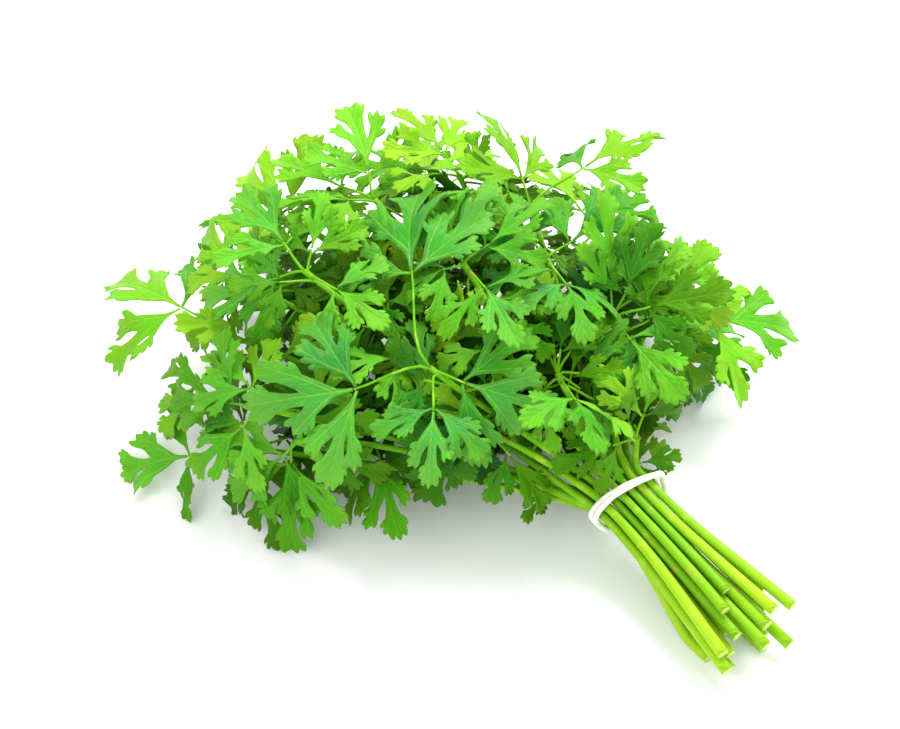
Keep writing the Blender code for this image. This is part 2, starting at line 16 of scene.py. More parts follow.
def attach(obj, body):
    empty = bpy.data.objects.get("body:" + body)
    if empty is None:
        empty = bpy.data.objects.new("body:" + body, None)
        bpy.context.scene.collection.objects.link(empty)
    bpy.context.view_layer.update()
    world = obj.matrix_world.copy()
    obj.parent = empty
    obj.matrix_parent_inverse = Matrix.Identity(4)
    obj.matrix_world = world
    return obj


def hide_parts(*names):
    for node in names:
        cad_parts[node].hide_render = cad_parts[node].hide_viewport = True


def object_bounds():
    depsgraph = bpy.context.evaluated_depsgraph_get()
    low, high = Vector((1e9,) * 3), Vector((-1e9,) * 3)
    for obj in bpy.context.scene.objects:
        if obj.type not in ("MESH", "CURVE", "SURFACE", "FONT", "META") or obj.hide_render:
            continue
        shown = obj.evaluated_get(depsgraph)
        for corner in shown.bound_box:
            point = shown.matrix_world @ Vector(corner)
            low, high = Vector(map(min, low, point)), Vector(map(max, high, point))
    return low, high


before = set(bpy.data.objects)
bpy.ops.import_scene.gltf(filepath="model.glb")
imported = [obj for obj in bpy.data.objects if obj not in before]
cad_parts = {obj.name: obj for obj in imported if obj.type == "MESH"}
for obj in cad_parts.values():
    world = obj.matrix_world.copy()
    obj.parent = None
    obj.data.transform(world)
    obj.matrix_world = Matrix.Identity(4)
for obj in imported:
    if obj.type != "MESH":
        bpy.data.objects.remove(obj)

bl_info = {
    "name": "Parsley bunch",
    "version": (1, 0, 0),
    "blender": (4, 5, 0),
    "location": "View3D > Sidebar > Parsley",
    "description": "Models the leaflets, stalks and rubber band of a parsley bunch round its frame",
    "category": "Object",
}

cad_low, cad_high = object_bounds()
MM = 0.001
SEED = 13

# ---------------------------------------------------------------- driving dimensions, in millimetres
NECK_HEIGHT = 26.0            # middle of the stalks where the band holds them
# Stalks side by side in each row, from the lowest row up, and the first one's place in pitches.
NECK_ROWS = ((5, -2.0), (6, -2.5), (6, -3.0), (5, -2.5), (4, -1.0))
NECK_PITCH = 4.1              # spacing of the stalks under the band
NECK_HALF = 5.0               # the stalks run side by side this far to each side of the band
NECK_RADII = (1.4, 1.75)      # thinnest and thickest stalk there
FORK_RADIUS = 0.95
NECK_FLARE = 0.022            # how the stalks turn apart past the band, for each millimetre off the middle
NECK_RUN = 60.0               # how far the longer stalks keep the way they had in the band
END_REACH = (46.0, 78.0)      # from the band to the cut ends
END_SWAY = (2.0, 1.2)         # how far a cut end may lie aside and up or down from its even place
CUT_STEPS = 4                 # points from the band to a cut end
FOOT_RUN = 12.0               # length of the lowest stalks that lies level on the surface
END_SLOPE = 0.175             # fall of the stalks from the band to their ends
END_SPREAD_Y = 0.01           # how the stalks part for each millimetre past the band
END_SPREAD_Z = 0.008
END_GROWTH = 0.0045           # how they thicken for each millimetre past the band
STALK_TRIES = 80              # how often another way is tried for a stalk, a branch and a leaflet
BRANCH_TRIES = 40
LEAF_TRIES = 48
BRANCH_SPACING = 1.3          # how far behind one another the branches leave the stalk
BRANCH_HALF = 0.6             # half the width of a branch
BRANCH_ROOM = 1.15            # what a branch and its hub need on each side of their middle line
STALK_STEPS = 6
LONG_BRANCH = 20.0            # a branch longer than this is curved
LONG_STEPS = 3

LEAF_THICK = 0.8
PRESS_DEPTH = 5.0             # how far a level leaflet may be pressed up by the surface
CLEARANCE = 0.35              # kept between one sprig and the next
STALK_REACH = 3.0             # further than any stalk's surface and clearance lie from its middle line
FINE_STEP = 1.0               # spacing of the points that stand for a stalk when it is kept clear

CROWN_CENTRE = np.array((-100.0, -8.0, 0.0))
CROWN_RADII = np.array((112.0, 108.0, 98.0))
FACING = np.array((0.35, -0.25, 0.9))   # leaves turn their upper sides this way, up and back to the stems

# Half of a leaflet's outline beyond its foot, as (across, along) in leaflet lengths: the side lobe, the
# cut above it and the shoulder of the middle lobe.
HALF_LEAF = ((0.36, 0.60), (0.11, 0.50), (0.19, 0.80))
LEAF_TIP = (0.0, 1.0)
LEAF_HEART = (0.0, 0.45)
# The small plate that a branch's three leaflets grow from: half its width, and its back and front edges.
HUB_HALF = 1.0
HUB_BACK = 2.4
HUB_FRONT = 0.4
HUB_REACH = 6.0
HUB_ROLL = 30.0               # how far a branch's leaflets may roll to either side, in degrees
SIDE_SWING = 64.0             # how far the side leaflets turn from the middle one, in degrees
# A branch's leaflets: the way each turns, its share of the full length, and how wide its left and right
# halves are. The halves that face the middle leaflet are narrower.
LEAFLETS = ((0, 1.0, (1.0, 1.0)), (1, 0.84, (1.0, 0.8)), (-1, 0.84, (0.8, 1.0)))

# Each sprig: the place of its fork, then its branches as (heading, climb, reach, leaflet length).
# A heading of 0 runs on from the stems, and a positive one turns to +Y. Angles are in degrees.
SPRIGS = (
    ((-64, -45, 80), ((30, 14, 42, 46), (-58, -12, 30, 44), (150, -8, 12, 38))),
    ((-37, -6, 72), ((35, 20, 12, 34), (118, -10, 14, 34), (-75, -25, 10, 28))),
    ((-45, 50, 55), ((118, -12, 28, 44), (80, 32, 12, 34), (150, -35, 12, 28))),
    ((-106, 41, 78), ((20, 36, 12, 36), (-30, 30, 12, 32), (92, 18, 28, 36))),
    ((-139, -76, 54), ((-10, -8, 36, 48), (-72, -36, 26, 30), (30, 5, 14, 32))),
    ((-146, -5, 80), ((25, 36, 12, 34), (-20, 2, 18, 36), (-60, 20, 14, 30))),
    ((-73, 20, 88), ((0, 14, 12, 32), (95, 20, 12, 30), (-62, -12, 10, 26))),
    ((-45, 29, 74), ((35, 44, 10, 40), (100, 28, 12, 32), (-70, -32, 10, 26))),
    ((-114, -96, 27), ((-35, -26, 28, 40), (-160, -34, 12, 28), (20, 10, 14, 30))),
    ((-92, -88, 45), ((-118, -58, 10, 38), (150, -20, 10, 28), (-65, -40, 12, 32))),
    ((-42, -34, 54), ((-44, -4, 12, 38), (168, -40, 10, 26), (-25, 38, 8, 26))),
    ((-86, -58, 34), ((-42, -36, 12, 32), (110, -30, 10, 28), (-10, -18, 12, 28))),
    ((-168, -22, 60), ((0, 2, 14, 40), (48, -10, 14, 36), (-40, 8, 14, 36))),
    ((-133, -50, 80), ((0, 24, 14, 34), (-50, -15, 14, 36), (45, 36, 10, 30))),
    ((-107, -92, 54), ((-24, -16, 14, 36), (-70, -36, 12, 32), (0, 18, 12, 30))),
    ((-150, -62, 64), ((0, 8, 12, 34), (-66, -30, 12, 32), (-108, -40, 22, 38))),
    ((-10, 11, 46), ((65, 50, 10, 34), (-70, 10, 10, 26), (0, 56, 10, 28))),
    ((-90, -7, 90), ((15, 30, 12, 34), (95, 24, 12, 32), (-68, 14, 10, 28))),
    ((-135, 29, 80), ((0, 32, 12, 30), (-45, 10, 12, 30), (105, 26, 12, 30))),
    ((-96, -38, 68), ((35, 20, 12, 32), (-40, 12, 12, 32), (120, 24, 12, 30))),
    ((-64, -16, 86), ((70, 30, 10, 28), (118, 2, 10, 26), (-25, 16, 10, 26))),
    ((-50, 60, 30), ((97, -12, 16, 36), (140, -42, 12, 30), (60, 20, 12, 32))),
    ((-105, 78, 42), ((50, -12, 16, 40), (100, -24, 14, 36), (10, 12, 14, 36))),
    ((-158, 44, 50), ((20, -14, 16, 40), (65, -22, 14, 36), (-30, 10, 14, 34))),
    ((-165, -8, 20), ((0, -12, 16, 42), (50, -10, 14, 38), (-45, -10, 14, 38))),
    ((-82, 88, 18), ((75, -14, 14, 36), (120, -18, 14, 34), (30, 4, 12, 32))),
)
# Each sprig that forks clear of the band has one more branch, in the widest gap between the others.
FILLER_FROM = -20.0
FILLER_CLIMB = (-10.0, 25.0)
FILLER_REACH = (12.0, 18.0)
FILLER_LEAF = (28.0, 34.0)

BAND_STRAND = 2.0             # thickness of the rubber band's strand
BAND_SPLIT = 3.0              # how far its two turns part on the -Y side
BAND_STACK = 2.3              # how far they lie over one another on the +Y side
BAND_SKEW = 0.2               # how far it slants along the stalks for each millimetre across
BAND_STEPS = 22


# ---------------------------------------------------------------- directions, curves and leaf surfaces
def unit(vector):
    vector = np.asarray(vector, float)
    return vector / np.linalg.norm(vector)


def heading(turn, climb):
    """Direction from -X, turned towards +Y and raised, both in degrees."""
    turn, climb = math.radians(turn), math.radians(climb)
    return np.array((-math.cos(turn) * math.cos(climb), math.sin(turn) * math.cos(climb), math.sin(climb)))


def turned(vector, axis, degrees):
    """The vector turned about a unit axis."""
    angle = math.radians(degrees)
    side = np.cross(axis, vector)
    return vector * math.cos(angle) + side * math.sin(angle) + axis * axis.dot(vector) * (1 - math.cos(angle))


def sweep(start, start_pull, end, end_pull, count):
    """Points along a smooth curve that leaves start along one pull and comes to end along the other."""
    t = np.linspace(0.0, 1.0, count)[:, None]
    return ((2 * t**3 - 3 * t**2 + 1) * start + (t**3 - 2 * t**2 + t) * start_pull
            + (3 * t**2 - 2 * t**3) * end + (t**3 - t**2) * end_pull)


def lengths_along(points):
    """How far along a route each of its points lies."""
    steps = np.linalg.norm(np.diff(points, axis=0), axis=1)
    return np.concatenate(([0.0], np.cumsum(steps)))


def face_across(point, along, roll):
    """The way a leaf's upper side faces: out of the crown and to the light, square to the leaf."""
    out = unit((point - CROWN_CENTRE) / CROWN_RADII**2)
    face = unit(out + FACING)
    face = unit(face - along * face.dot(along))
    return turned(face, along, roll)


class Leaf:
    """One leaflet's foot, place, size and bend."""

    def __init__(self, feet, length, halves, draw):
        self.feet = feet
        self.root = (feet[0] + feet[1]) / 2
        self.length = length
        self.halves = halves
        self.width = draw.uniform(0.82, 1.03)
        self.droop = draw.uniform(0.35, 0.95)
        self.fold = draw.uniform(0.05, 0.45)
        self.curl = draw.uniform(0.15, 0.75)
        self.wave = draw.uniform(0.10, 0.30)
        self.phase = draw.uniform(0.0, 2 * math.pi)
        self.twist = draw.uniform(-0.45, 0.45)

    def point(self, along, face):
        self.along = along
        self.face = unit(face - along * face.dot(along))

    def bend(self, flat):
        """Flat leaf points, as (across, along) in leaflet lengths, on the bent leaf in millimetres."""
        across = flat[:, 0] * self.length * self.width
        along = flat[:, 1] * self.length
        part = flat[:, 1]
        swing = self.droop / self.length
        lift = self.fold * (np.sqrt(across**2 + 1) - 1) - self.curl * across**2 / self.length
        lift = lift + self.wave * np.sin(3.0 * math.pi * part + self.phase) * across
        twist = self.twist * part
        side = across * np.cos(twist) - lift * np.sin(twist)
        rise = across * np.sin(twist) + lift * np.cos(twist)
        angle = swing * along
        forward = np.sin(angle) / swing + rise * np.sin(angle)
        height = (np.cos(angle) - 1) / swing + rise * np.cos(angle)
        right = np.cross(self.along, self.face)
        return self.root + np.outer(side, right) + np.outer(forward, self.along) + np.outer(height, self.face)

    def outline(self):
        """The flat outline beyond the foot, up the right side, over the tip and down the left side."""
        left, right = self.halves
        going = [(x * right, y) for x, y in HALF_LEAF]
        coming = [(-x * left, y) for x, y in reversed(HALF_LEAF)]
        return np.array(going + [LEAF_TIP] + coming)


class Hub:
    """Where a branch ends: its direction, the way it faces, and the corners that its leaflets grow from."""

    def __init__(self, point, way, face):
        self.point = point
        self.way = way
        self.face = face
        right = np.cross(way, face)
        back = point - way * HUB_BACK
        front = point + way * HUB_FRONT
        self.corners = [back - right * BRANCH_HALF, back + right * BRANCH_HALF,
                        front - right * HUB_HALF, front + right * HUB_HALF]

    def holds(self, place):
        """Whether a place is so near the hub that it is the hub's own branch."""
        return np.linalg.norm(self.point - place) < HUB_REACH

    def feet(self, side):
        """The right and left foot of the leaflet that turns left (1), right (-1) or runs on (0)."""
        back_left, back_right, front_left, front_right = self.corners
        return {1: (front_left, back_left), 0: (front_right, front_left), -1: (back_right, front_right)}[side]


def fan_normals(points, fan):
    """The way each point of a fan of triangles faces."""
    normals = np.zeros_like(points)
    for a, b, c in fan:
        area = np.cross(points[b] - points[a], points[c] - points[a])
        for corner in (a, b, c):
            normals[corner] += area
    return normals / np.linalg.norm(normals, axis=1)[:, None]


def leaf_surface(leaf, grow=1.0):
    """Points, facings and triangles of a leaflet's middle surface; its two feet come first."""
    flat = np.vstack((leaf.outline(), LEAF_HEART))
    flat = (flat - LEAF_HEART) * grow + LEAF_HEART
    points = np.vstack((leaf.feet, leaf.bend(flat)))
    heart = len(points) - 1
    ring = [0, *range(2, heart), 1]
    fan = [(heart, a, b) for a, b in zip(ring, ring[1:] + ring[:1])]
    return points, fan_normals(points, fan), fan


def thicken(points, normals, faces, thickness):
    """Closes a surface into a thin blade, alike on both faces, and presses it flat where it meets z = 0."""
    upper = points + normals * thickness / 2
    lower = points - normals * thickness / 2
    upper[:, 2] = np.maximum(upper[:, 2], LEAF_THICK)
    lower[:, 2] = np.maximum(lower[:, 2], 0.0)
    count = len(points)
    edges = [edge for face in faces for edge in zip(face, face[1:] + face[:1])]
    rim = [(a, b) for a, b in edges if (b, a) not in set(edges)]
    solid = [*faces, *(tuple(corner + count for corner in reversed(face)) for face in faces)]
    for a, b in rim:
        solid += [(b, a, a + count), (b, a + count, b + count)]
    return np.vstack((upper, lower)), solid


def blade(hub, leaf, thickness=LEAF_THICK, grow=1.0):
    """Corners and faces of one leaflet by itself."""
    points, normals, fan = leaf_surface(leaf, grow)
    normals[:2] = hub.face
    return thicken(points, normals, fan, thickness)


def fine_points(points, radii):
    """Closely spaced points along a stalk, each with the stalk's radius there."""
    along = lengths_along(points)
    marks = np.arange(0.0, along[-1], FINE_STEP)
    return np.column_stack([np.interp(marks, along, column) for column in (*points.T, radii)])


def near_box(points, low, high):
    """Those of a stalk's points that lie in a box, give or take the thickest stalk."""
    inside = np.all((points[:, :3] > low - STALK_REACH) & (points[:, :3] < high + STALK_REACH), axis=1)
    return points[inside]


class Crown:
    """What has been placed so far. Each new stalk or leaflet has to fit clear of the other sprigs."""

    def __init__(self):
        self.stalks = []
        self.blades = []
        self.grow = 1.03

    def stalk_fits(self, sprig, fine):
        low, high = fine[:, :3].min(axis=0), fine[:, :3].max(axis=0)
        for other, points in self.stalks:
            near = near_box(points, low, high)
            if other == sprig or not len(near):
                continue
            apart = np.linalg.norm(fine[:, None, :3] - near[None, :, :3], axis=2)
            if (apart - fine[:, None, 3] - near[None, :, 3]).min() < CLEARANCE:
                return False
        for _, box_low, box_high, tree, _ in self.blades:
            for x, y, z, radius in near_box(fine, box_low, box_high):
                if tree.find_nearest((x, y, z), radius + CLEARANCE)[0] is not None:
                    return False
        return True

    def blade_fits(self, sprig, hub, leaf):
        if leaf_surface(leaf)[0][:, 2].min() < -PRESS_DEPTH * abs(leaf.face[2]):
            return False
        corners, faces = blade(hub, leaf, LEAF_THICK + 2 * CLEARANCE, self.grow)
        low, high = corners.min(axis=0), corners.max(axis=0)
        tree = BVHTree.FromPolygons(corners.tolist(), faces)
        for other, points in self.stalks:
            for x, y, z, radius in near_box(points, low, high):
                if other == sprig and hub.holds((x, y, z)):
                    continue
                if tree.find_nearest((x, y, z), radius + CLEARANCE / 2)[0] is not None:
                    return False
        own = None
        for other, box_low, box_high, whole, outer in self.blades:
            if np.any(box_low > high) or np.any(box_high < low):
                continue
            if other != sprig:
                if whole.overlap(tree):
                    return False
                continue
            own = own or outer_tree(corners, faces)
            if outer.overlap(own):
                return False
        return True

    def add_stalk(self, sprig, fine):
        self.stalks.append((sprig, fine))

    def add_blade(self, sprig, hub, leaf):
        corners, faces = blade(hub, leaf)
        tree = BVHTree.FromPolygons(corners.tolist(), faces)
        outer = outer_tree(corners, faces)
        self.blades.append((sprig, corners.min(axis=0), corners.max(axis=0), tree, outer))


def outer_tree(corners, faces):
    """The leaflet without its foot, where it grows together with its neighbours."""
    half = len(corners) // 2
    foot = {0, 1, half, half + 1}
    return BVHTree.FromPolygons(corners.tolist(), [face for face in faces if not foot & set(face)])


# ---------------------------------------------------------------- the plan of the bunch
def neck_places():
    """Offsets (across, up) of the stalks under the band, packed in rows, lowest row first."""
    rows = []
    middle = (len(NECK_ROWS) - 1) / 2
    for row, (count, first) in enumerate(NECK_ROWS):
        rise = (row - middle) * NECK_PITCH * math.sin(math.radians(60))
        rows.append([((first + i) * NECK_PITCH, rise) for i in range(count)])
    return rows


def share_neck():
    """Gives each sprig its place under the band: low forks in the low rows, and left forks to the left."""
    neck = np.array((0.0, 0.0, NECK_HEIGHT))

    def elevation(index):
        x, y, z = SPRIGS[index][0] - neck
        return math.atan2(z, math.hypot(x, y))

    def side(index):
        x, y, _ = SPRIGS[index][0] - neck
        return math.atan2(y, -x)

    waiting = sorted(range(len(SPRIGS)), key=elevation)
    places = {}
    for row in neck_places():
        for place, index in zip(row, sorted(waiting[:len(row)], key=side)):
            places[index] = place
        waiting = waiting[len(row):]
    return places


def plan_cut(crown, sprig, place, draw):
    """A stalk from its cut end to the band, with its radii: it bends aside, and the lowest row lies flat."""
    across, up = place
    radius = draw.uniform(*NECK_RADII)
    reach = draw.uniform(*END_REACH)
    past = reach - NECK_HALF
    end_radius = radius * (1 + END_GROWTH * reach)
    flat = end_radius * math.cos(math.pi / 6)
    throat = np.array((NECK_HALF, across, NECK_HEIGHT + up - END_SLOPE * NECK_HALF))
    for _ in range(STALK_TRIES):
        aside, lift = (draw.uniform(-most, most) for most in END_SWAY)
        y = across * (1 + END_SPREAD_Y * past) + aside
        z = NECK_HEIGHT - END_SLOPE * reach + up * (1 + END_SPREAD_Z * past) + lift
        if up > neck_places()[0][0][1]:
            end = np.array((reach, y, max(z, flat)))
            foot = []
        else:
            end = np.array((reach - FOOT_RUN, y, flat))
            foot = [np.array((reach, y + aside * FOOT_RUN / past, flat))]
        away = end - throat
        arrive = away + np.array((0.0, aside, 0.0))
        leave = np.array((away[0], 0.0, -END_SLOPE * away[0]))
        pulls = (end, -arrive, throat, -leave)
        points = np.array([*foot, *sweep(*pulls, CUT_STEPS)])
        radii = np.array([end_radius] * len(foot) + list(np.linspace(end_radius, radius, CUT_STEPS)))
        fine = fine_points(points, radii)
        if crown.stalk_fits(sprig, fine):
            crown.add_stalk(sprig, fine)
            return points, radii, foot, pulls
    raise RuntimeError(f"the end of stalk {sprig + 1} finds no clear way")


def plan_stalk(crown, sprig, place, cut, draw):
    """A stalk from its cut end, straight through the band and on in a curve to its fork."""
    fork, branches = SPRIGS[sprig]
    fork = np.array(fork, float)
    cut_points, cut_radii, foot, cut_pulls = cut
    neck = np.array((-NECK_HALF, place[0], NECK_HEIGHT + place[1] + END_SLOPE * NECK_HALF))
    straight = unit((-1.0, NECK_FLARE * place[0], END_SLOPE + NECK_FLARE * place[1]))
    distance = np.linalg.norm(fork - neck)
    spread = unit(unit(fork - neck) + 0.4 * unit(sum(heading(turn, climb) for turn, climb, _, _ in branches)))
    radii = np.concatenate((cut_radii, np.linspace(cut_radii[-1], FORK_RADIUS, STALK_STEPS)))
    for attempt in range(STALK_TRIES):
        loose = attempt / STALK_TRIES
        start_pull = straight * min(distance, NECK_RUN) * (1 + loose * draw.uniform(-0.7, 0.7))
        sway = np.array([draw.uniform(-1.0, 1.0) for _ in range(3)])
        end_pull = unit(spread + loose * sway) * distance * (0.7 + loose * draw.uniform(-0.4, 0.4))
        curve = sweep(neck, start_pull, fork, end_pull, STALK_STEPS)
        points = np.vstack((cut_points, curve))
        fine = fine_points(points[len(cut_points) - 1:], radii[len(cut_points) - 1:])
        if crown.stalk_fits(sprig, fine):
            break
    else:
        raise RuntimeError(f"stalk {sprig + 1} finds no clear way")
    crown.add_stalk(sprig, fine)
    stalk = (foot, cut_pulls, radii[0], cut_radii[-1], (neck, start_pull, fork, end_pull))
    return stalk, fork, unit(end_pull)


def plan_branch(crown, sprig, fork, onward, spec, draw):
    """A branch from the fork to the hub of its three leaflets, or None where there is no room."""
    turn, climb, reach, length = spec
    for attempt in range(BRANCH_TRIES):
        loose = attempt / BRANCH_TRIES
        way = heading(turn + loose * draw.uniform(-35, 35), climb + loose * draw.uniform(-30, 30))
        run = reach * (1 - 0.4 * loose)
        steps = LONG_STEPS if reach > LONG_BRANCH else 1
        pulls = (fork, onward * run * 0.8, fork + way * run, way * run)
        points = sweep(*pulls, steps + 1)
        radii = np.full(steps + 1, BRANCH_ROOM)
        fine = fine_points(points, radii)
        if crown.stalk_fits(sprig, fine):
            crown.add_stalk(sprig, fine)
            return pulls, way, length
    return None


def filler(branches, draw):
    """One more branch for a sprig, in the widest gap between the others."""
    turns = sorted(turn for turn, _, _, _ in branches)
    gaps = [(after - before, before) for before, after in zip(turns, turns[1:] + [turns[0] + 360])]
    width, start = max(gaps)
    return (start + width / 2, draw.uniform(*FILLER_CLIMB), draw.uniform(*FILLER_REACH),
            draw.uniform(*FILLER_LEAF))


def plan_leaves(crown, sprig, branch, draw):
    """The hub of a branch and its leaflets: one that runs on and one to each side."""
    (_, _, end, _), way, length = branch
    hub = Hub(end, way, face_across(end, way, draw.uniform(-HUB_ROLL, HUB_ROLL)))
    leaves = []
    for side, share, halves in LEAFLETS:
        leaf = Leaf(hub.feet(side), length * share * draw.uniform(0.92, 1.06), halves, draw)
        full = leaf.length
        swing = side * SIDE_SWING + draw.uniform(-8, 8)
        for attempt in range(LEAF_TRIES):
            loose = attempt / LEAF_TRIES
            along = turned(way, hub.face, swing + loose * draw.uniform(-30, 30))
            right = np.cross(along, hub.face)
            nod = loose * draw.uniform(-50, 50)
            face = turned(turned(hub.face, right, nod), along, loose * draw.uniform(-50, 50))
            leaf.length = full * (1 - 0.35 * loose)
            leaf.point(turned(along, right, nod), face)
            if crown.blade_fits(sprig, hub, leaf):
                crown.add_blade(sprig, hub, leaf)
                leaves.append((side, leaf))
                break
    return hub, leaves


def band_route():
    """Middle line of the doubled band, drawn taut round the outermost stalks and closed after two turns."""
    offsets = np.array([place for row in neck_places() for place in row])
    room = NECK_RADII[1] + CLEARANCE + (BAND_STRAND + BAND_STACK) / 2
    points = []
    for step in range(2 * BAND_STEPS):
        turn = 2 * math.pi * step / BAND_STEPS
        out = np.array((math.cos(turn), math.sin(turn)))
        outermost = offsets[np.argmax(offsets @ out)]
        y, z = outermost + out * (room + BAND_STACK / 2 * math.cos(turn / 2))
        x = BAND_SPLIT / 2 * math.sin(turn / 2) + BAND_SKEW * y
        points.append((x, y, NECK_HEIGHT + z - END_SLOPE * x))
    return points


def plan_bunch():
    """Every sprig's stalk, branches and sprays of leaflets, each clear of the other sprigs."""
    draw = random.Random(SEED)
    crown = Crown()
    band = band_route()
    crown.add_stalk("band", fine_points(np.array(band), np.full(len(band), BAND_STRAND / 2)))
    places = share_neck()
    cuts = [plan_cut(crown, sprig, places[sprig], draw) for sprig in range(len(SPRIGS))]
    stalks = [plan_stalk(crown, sprig, places[sprig], cuts[sprig], draw) for sprig in range(len(SPRIGS))]
    plan = []
    for sprig, (stalk, tip, onward) in enumerate(stalks):
        fork, branches = SPRIGS[sprig]
        if fork[0] < FILLER_FROM:
            branches = (*branches, filler(branches, draw))
        sprays = []
        for index, spec in enumerate(branches):
            start = tip - onward * BRANCH_SPACING * index
            branch = plan_branch(crown, sprig, start, onward, spec, draw)
            if branch:
                sprays.append((branch[0], *plan_leaves(crown, sprig, branch, draw)))
        plan.append((stalk, sprays))
    return plan, crown


def outer_corners(plan):
    """Lowest and highest place that the leaflets' corners reach."""
    corners = np.vstack([blade(hub, leaf)[0] for _, sprays in plan for _, hub, leaves in sprays
                         for _, leaf in leaves])
    return corners.min(axis=0), corners.max(axis=0)


def plan_shift(low, high):
    """How far the frame's origin lies from the plan's, in metres: the outermost leaflet corners settle it."""
    return Vector((low[0] * MM - cad_low.x, low[1] * MM - cad_low.y, high[2] * MM - cad_high.z))


def fill_sprig(crown, sprig, stalk, low, high, draw):
    """Small shaded sprays along a stalk, which fill the crown behind the outer leaflets."""
    route = sweep(*stalk[-1], SHADE_STEPS)
    sprays = []
    for _ in range(SHADED):
        index = draw.randrange(SHADE_STEPS // 3, SHADE_STEPS - 1)
        spec = (draw.uniform(-150, 150), draw.uniform(*SHADE_CLIMB), draw.uniform(*SHADE_REACH),
                draw.uniform(*SHADE_LEAF))
        if route[index][0] > SHADE_FROM:
            continue
        onward = unit(route[index + 1] - route[index])
        branch = plan_branch(crown, sprig, route[index], onward, spec, draw)
        if not branch:
            continue
        hub = branch[0][2]
        inside = np.all(hub > low + SHADE_INSIDE) and np.all(hub < high - SHADE_INSIDE)
        if inside and np.all(SHADE_SLOPES @ hub < SHADE_NEAR):
            sprays.append((branch[0], *plan_leaves(crown, sprig, branch, draw)))
    return sprays


def fill_neck(crown, plan, draw):
    """Small sprays low on the stems near the band, each on the nearest stalk."""
    sprays = {}
    routes = [sweep(*stalk[-1], SHADE_STEPS) for stalk, _ in plan]
    for place, spec in NECK_SPRAYS:
        gaps = [np.linalg.norm(route - place, axis=1) for route in routes]
        sprig = int(np.argmin([gap.min() for gap in gaps]))
        index = min(int(np.argmin(gaps[sprig])), SHADE_STEPS - 2)
        onward = unit(routes[sprig][index + 1] - routes[sprig][index])
        branch = plan_branch(crown, sprig, routes[sprig][index], onward, spec, draw)
        if branch:
            sprays.setdefault(sprig, []).append((branch[0], *plan_leaves(crown, sprig, branch, draw)))
    return sprays


# ---------------------------------------------------------------- values that only the looks need
EXTRA_SEED = 23
LEAF_KINDS = 10               # different outlines of each sort of leaflet
LEAF_GRID = 0.085             # mesh spacing in a flat leaflet, in leaflet lengths
SHADE_KINDS = 6               # and of the plainer ones that fill the crown
SHADE_GRID = 0.17
# How wide the right and left halves are of a leaflet that runs on (0), turns left (1) or right (-1).
HALF_SHARES = {0: (1.0, 1.0), 1: (1.05, 0.8), -1: (0.8, 1.05)}
CUT_MERGE = 0.0004            # a new edge runs through a point that lies this near
RIB_HALF = 0.014              # half the width of the midrib, in leaflet lengths
RIB_FORK = 0.16               # where the side lobes' ribs leave it
PLEAT = 0.26                  # how steeply the blade rises from its ribs
# A leaflet's outline in leaflet lengths, as (across, along): its foot, where a side lobe starts from it, how
# far its tip lies aside, and the ranges of the side lobes' tips and of the notches between the lobes.
FOOT_EDGE = ((0.014, 0.0), (0.016, 0.07))
LOBE_FOOT = (0.030, 0.14)
TIP_SWAY = 0.04
LOBE_ACROSS = (0.30, 0.39)
LOBE_ALONG = (0.60, 0.76)
NOTCH_ACROSS = (0.05, 0.08)
NOTCH_ALONG = (0.38, 0.50)
# How far each edge of a lobe bulges, and the depth of its teeth.
OUTER_BULGE = (0.01, 0.04)
OUTER_DEPTH = (0.06, 0.08)
INNER_BULGE = (0.045, 0.07)
INNER_DEPTH = (0.04, 0.06)
MIDDLE_BULGE = (0.10, 0.145)
MIDDLE_DEPTH = (0.05, 0.07)
BULGE_LATE = 1.9              # power that moves an edge's fullest place towards its tip
TEETH = (2, 2, 3)             # numbers of teeth to draw from
TOOTH_START = 0.46            # where the teeth start along a lobe's edge
TOOTH_FADE = 0.15             # how much smaller each is than the one before
TOOTH_SPARE = 0.5             # room for the lobe's own tip, in teeth
# A tooth's points: how far through its room, then out from the edge and ahead along it in tooth depths.
TOOTH = ((0.35, 0.55, 0.0), (0.68, 0.92, 0.0), (0.88, 1.02, 0.30), (0.97, 0.90, 0.42), (1.01, 0.18, 0.0))
LOBE_END = ((0.075, 0.038), (0.020, 0.014))   # how far its last points lie behind its tip and aside
SHADED = 9                    # more branches to a sprig, with small leaflets that fill the crown
SHADE_LEAF = (22.0, 33.0)
SHADE_REACH = (8.0, 20.0)
SHADE_CLIMB = (-50.0, 40.0)
SHADE_STEPS = 28              # places along a stalk where one may leave it
SHADE_FROM = -16.0            # none leaves nearer the band than this
SHADE_INSIDE = (16.0, 16.0, 6.0)
# And they keep behind two slopes, one on the band's -Y side and one on its +Y side.
SHADE_SLOPES = ((0.77, -0.64, -0.80), (0.97, 0.50, -0.34))
SHADE_NEAR = (-52.0, -28.0)
SHADE_GROW = 0.8              # how tightly they may be packed
# Sprays low on the stems: a place near their stalk, then heading, climb, reach and leaflet length.
NECK_SPRAYS = (
    ((-18, -13, 24), (-40, -10, 9, 22)),
    ((-26, -16, 30), (-75, 5, 9, 24)),
    ((-20, 14, 26), (75, -5, 10, 24)),
    ((-14, 4, 36), (60, 40, 9, 24)),
    ((-10, 10, 32), (115, 10, 6, 17)),
)
# Painted shade: a leaflet's colour is made darker where others hang over it, in place of the shade they cast,
# with a random part on top.
OVER_RISE = 5.0               # a leaflet paints shade on those this far below it
OVER_REACH = 11.0             # and this far aside
OVER_WIDEN = 0.25             # and further for each millimetre that it hangs above them
OVER_MOST = 7                 # and so many together paint as much shade on one as they can
OVER_SHARE = 0.75             # the part of a leaflet's painted shade that comes from the others
OVER_CHANCE = 0.4             # and the most that is drawn
LEAF_PAINTED_LIGHT = (0.22, 1.02)     # painted brightness of a leaflet where most and where none hang over it
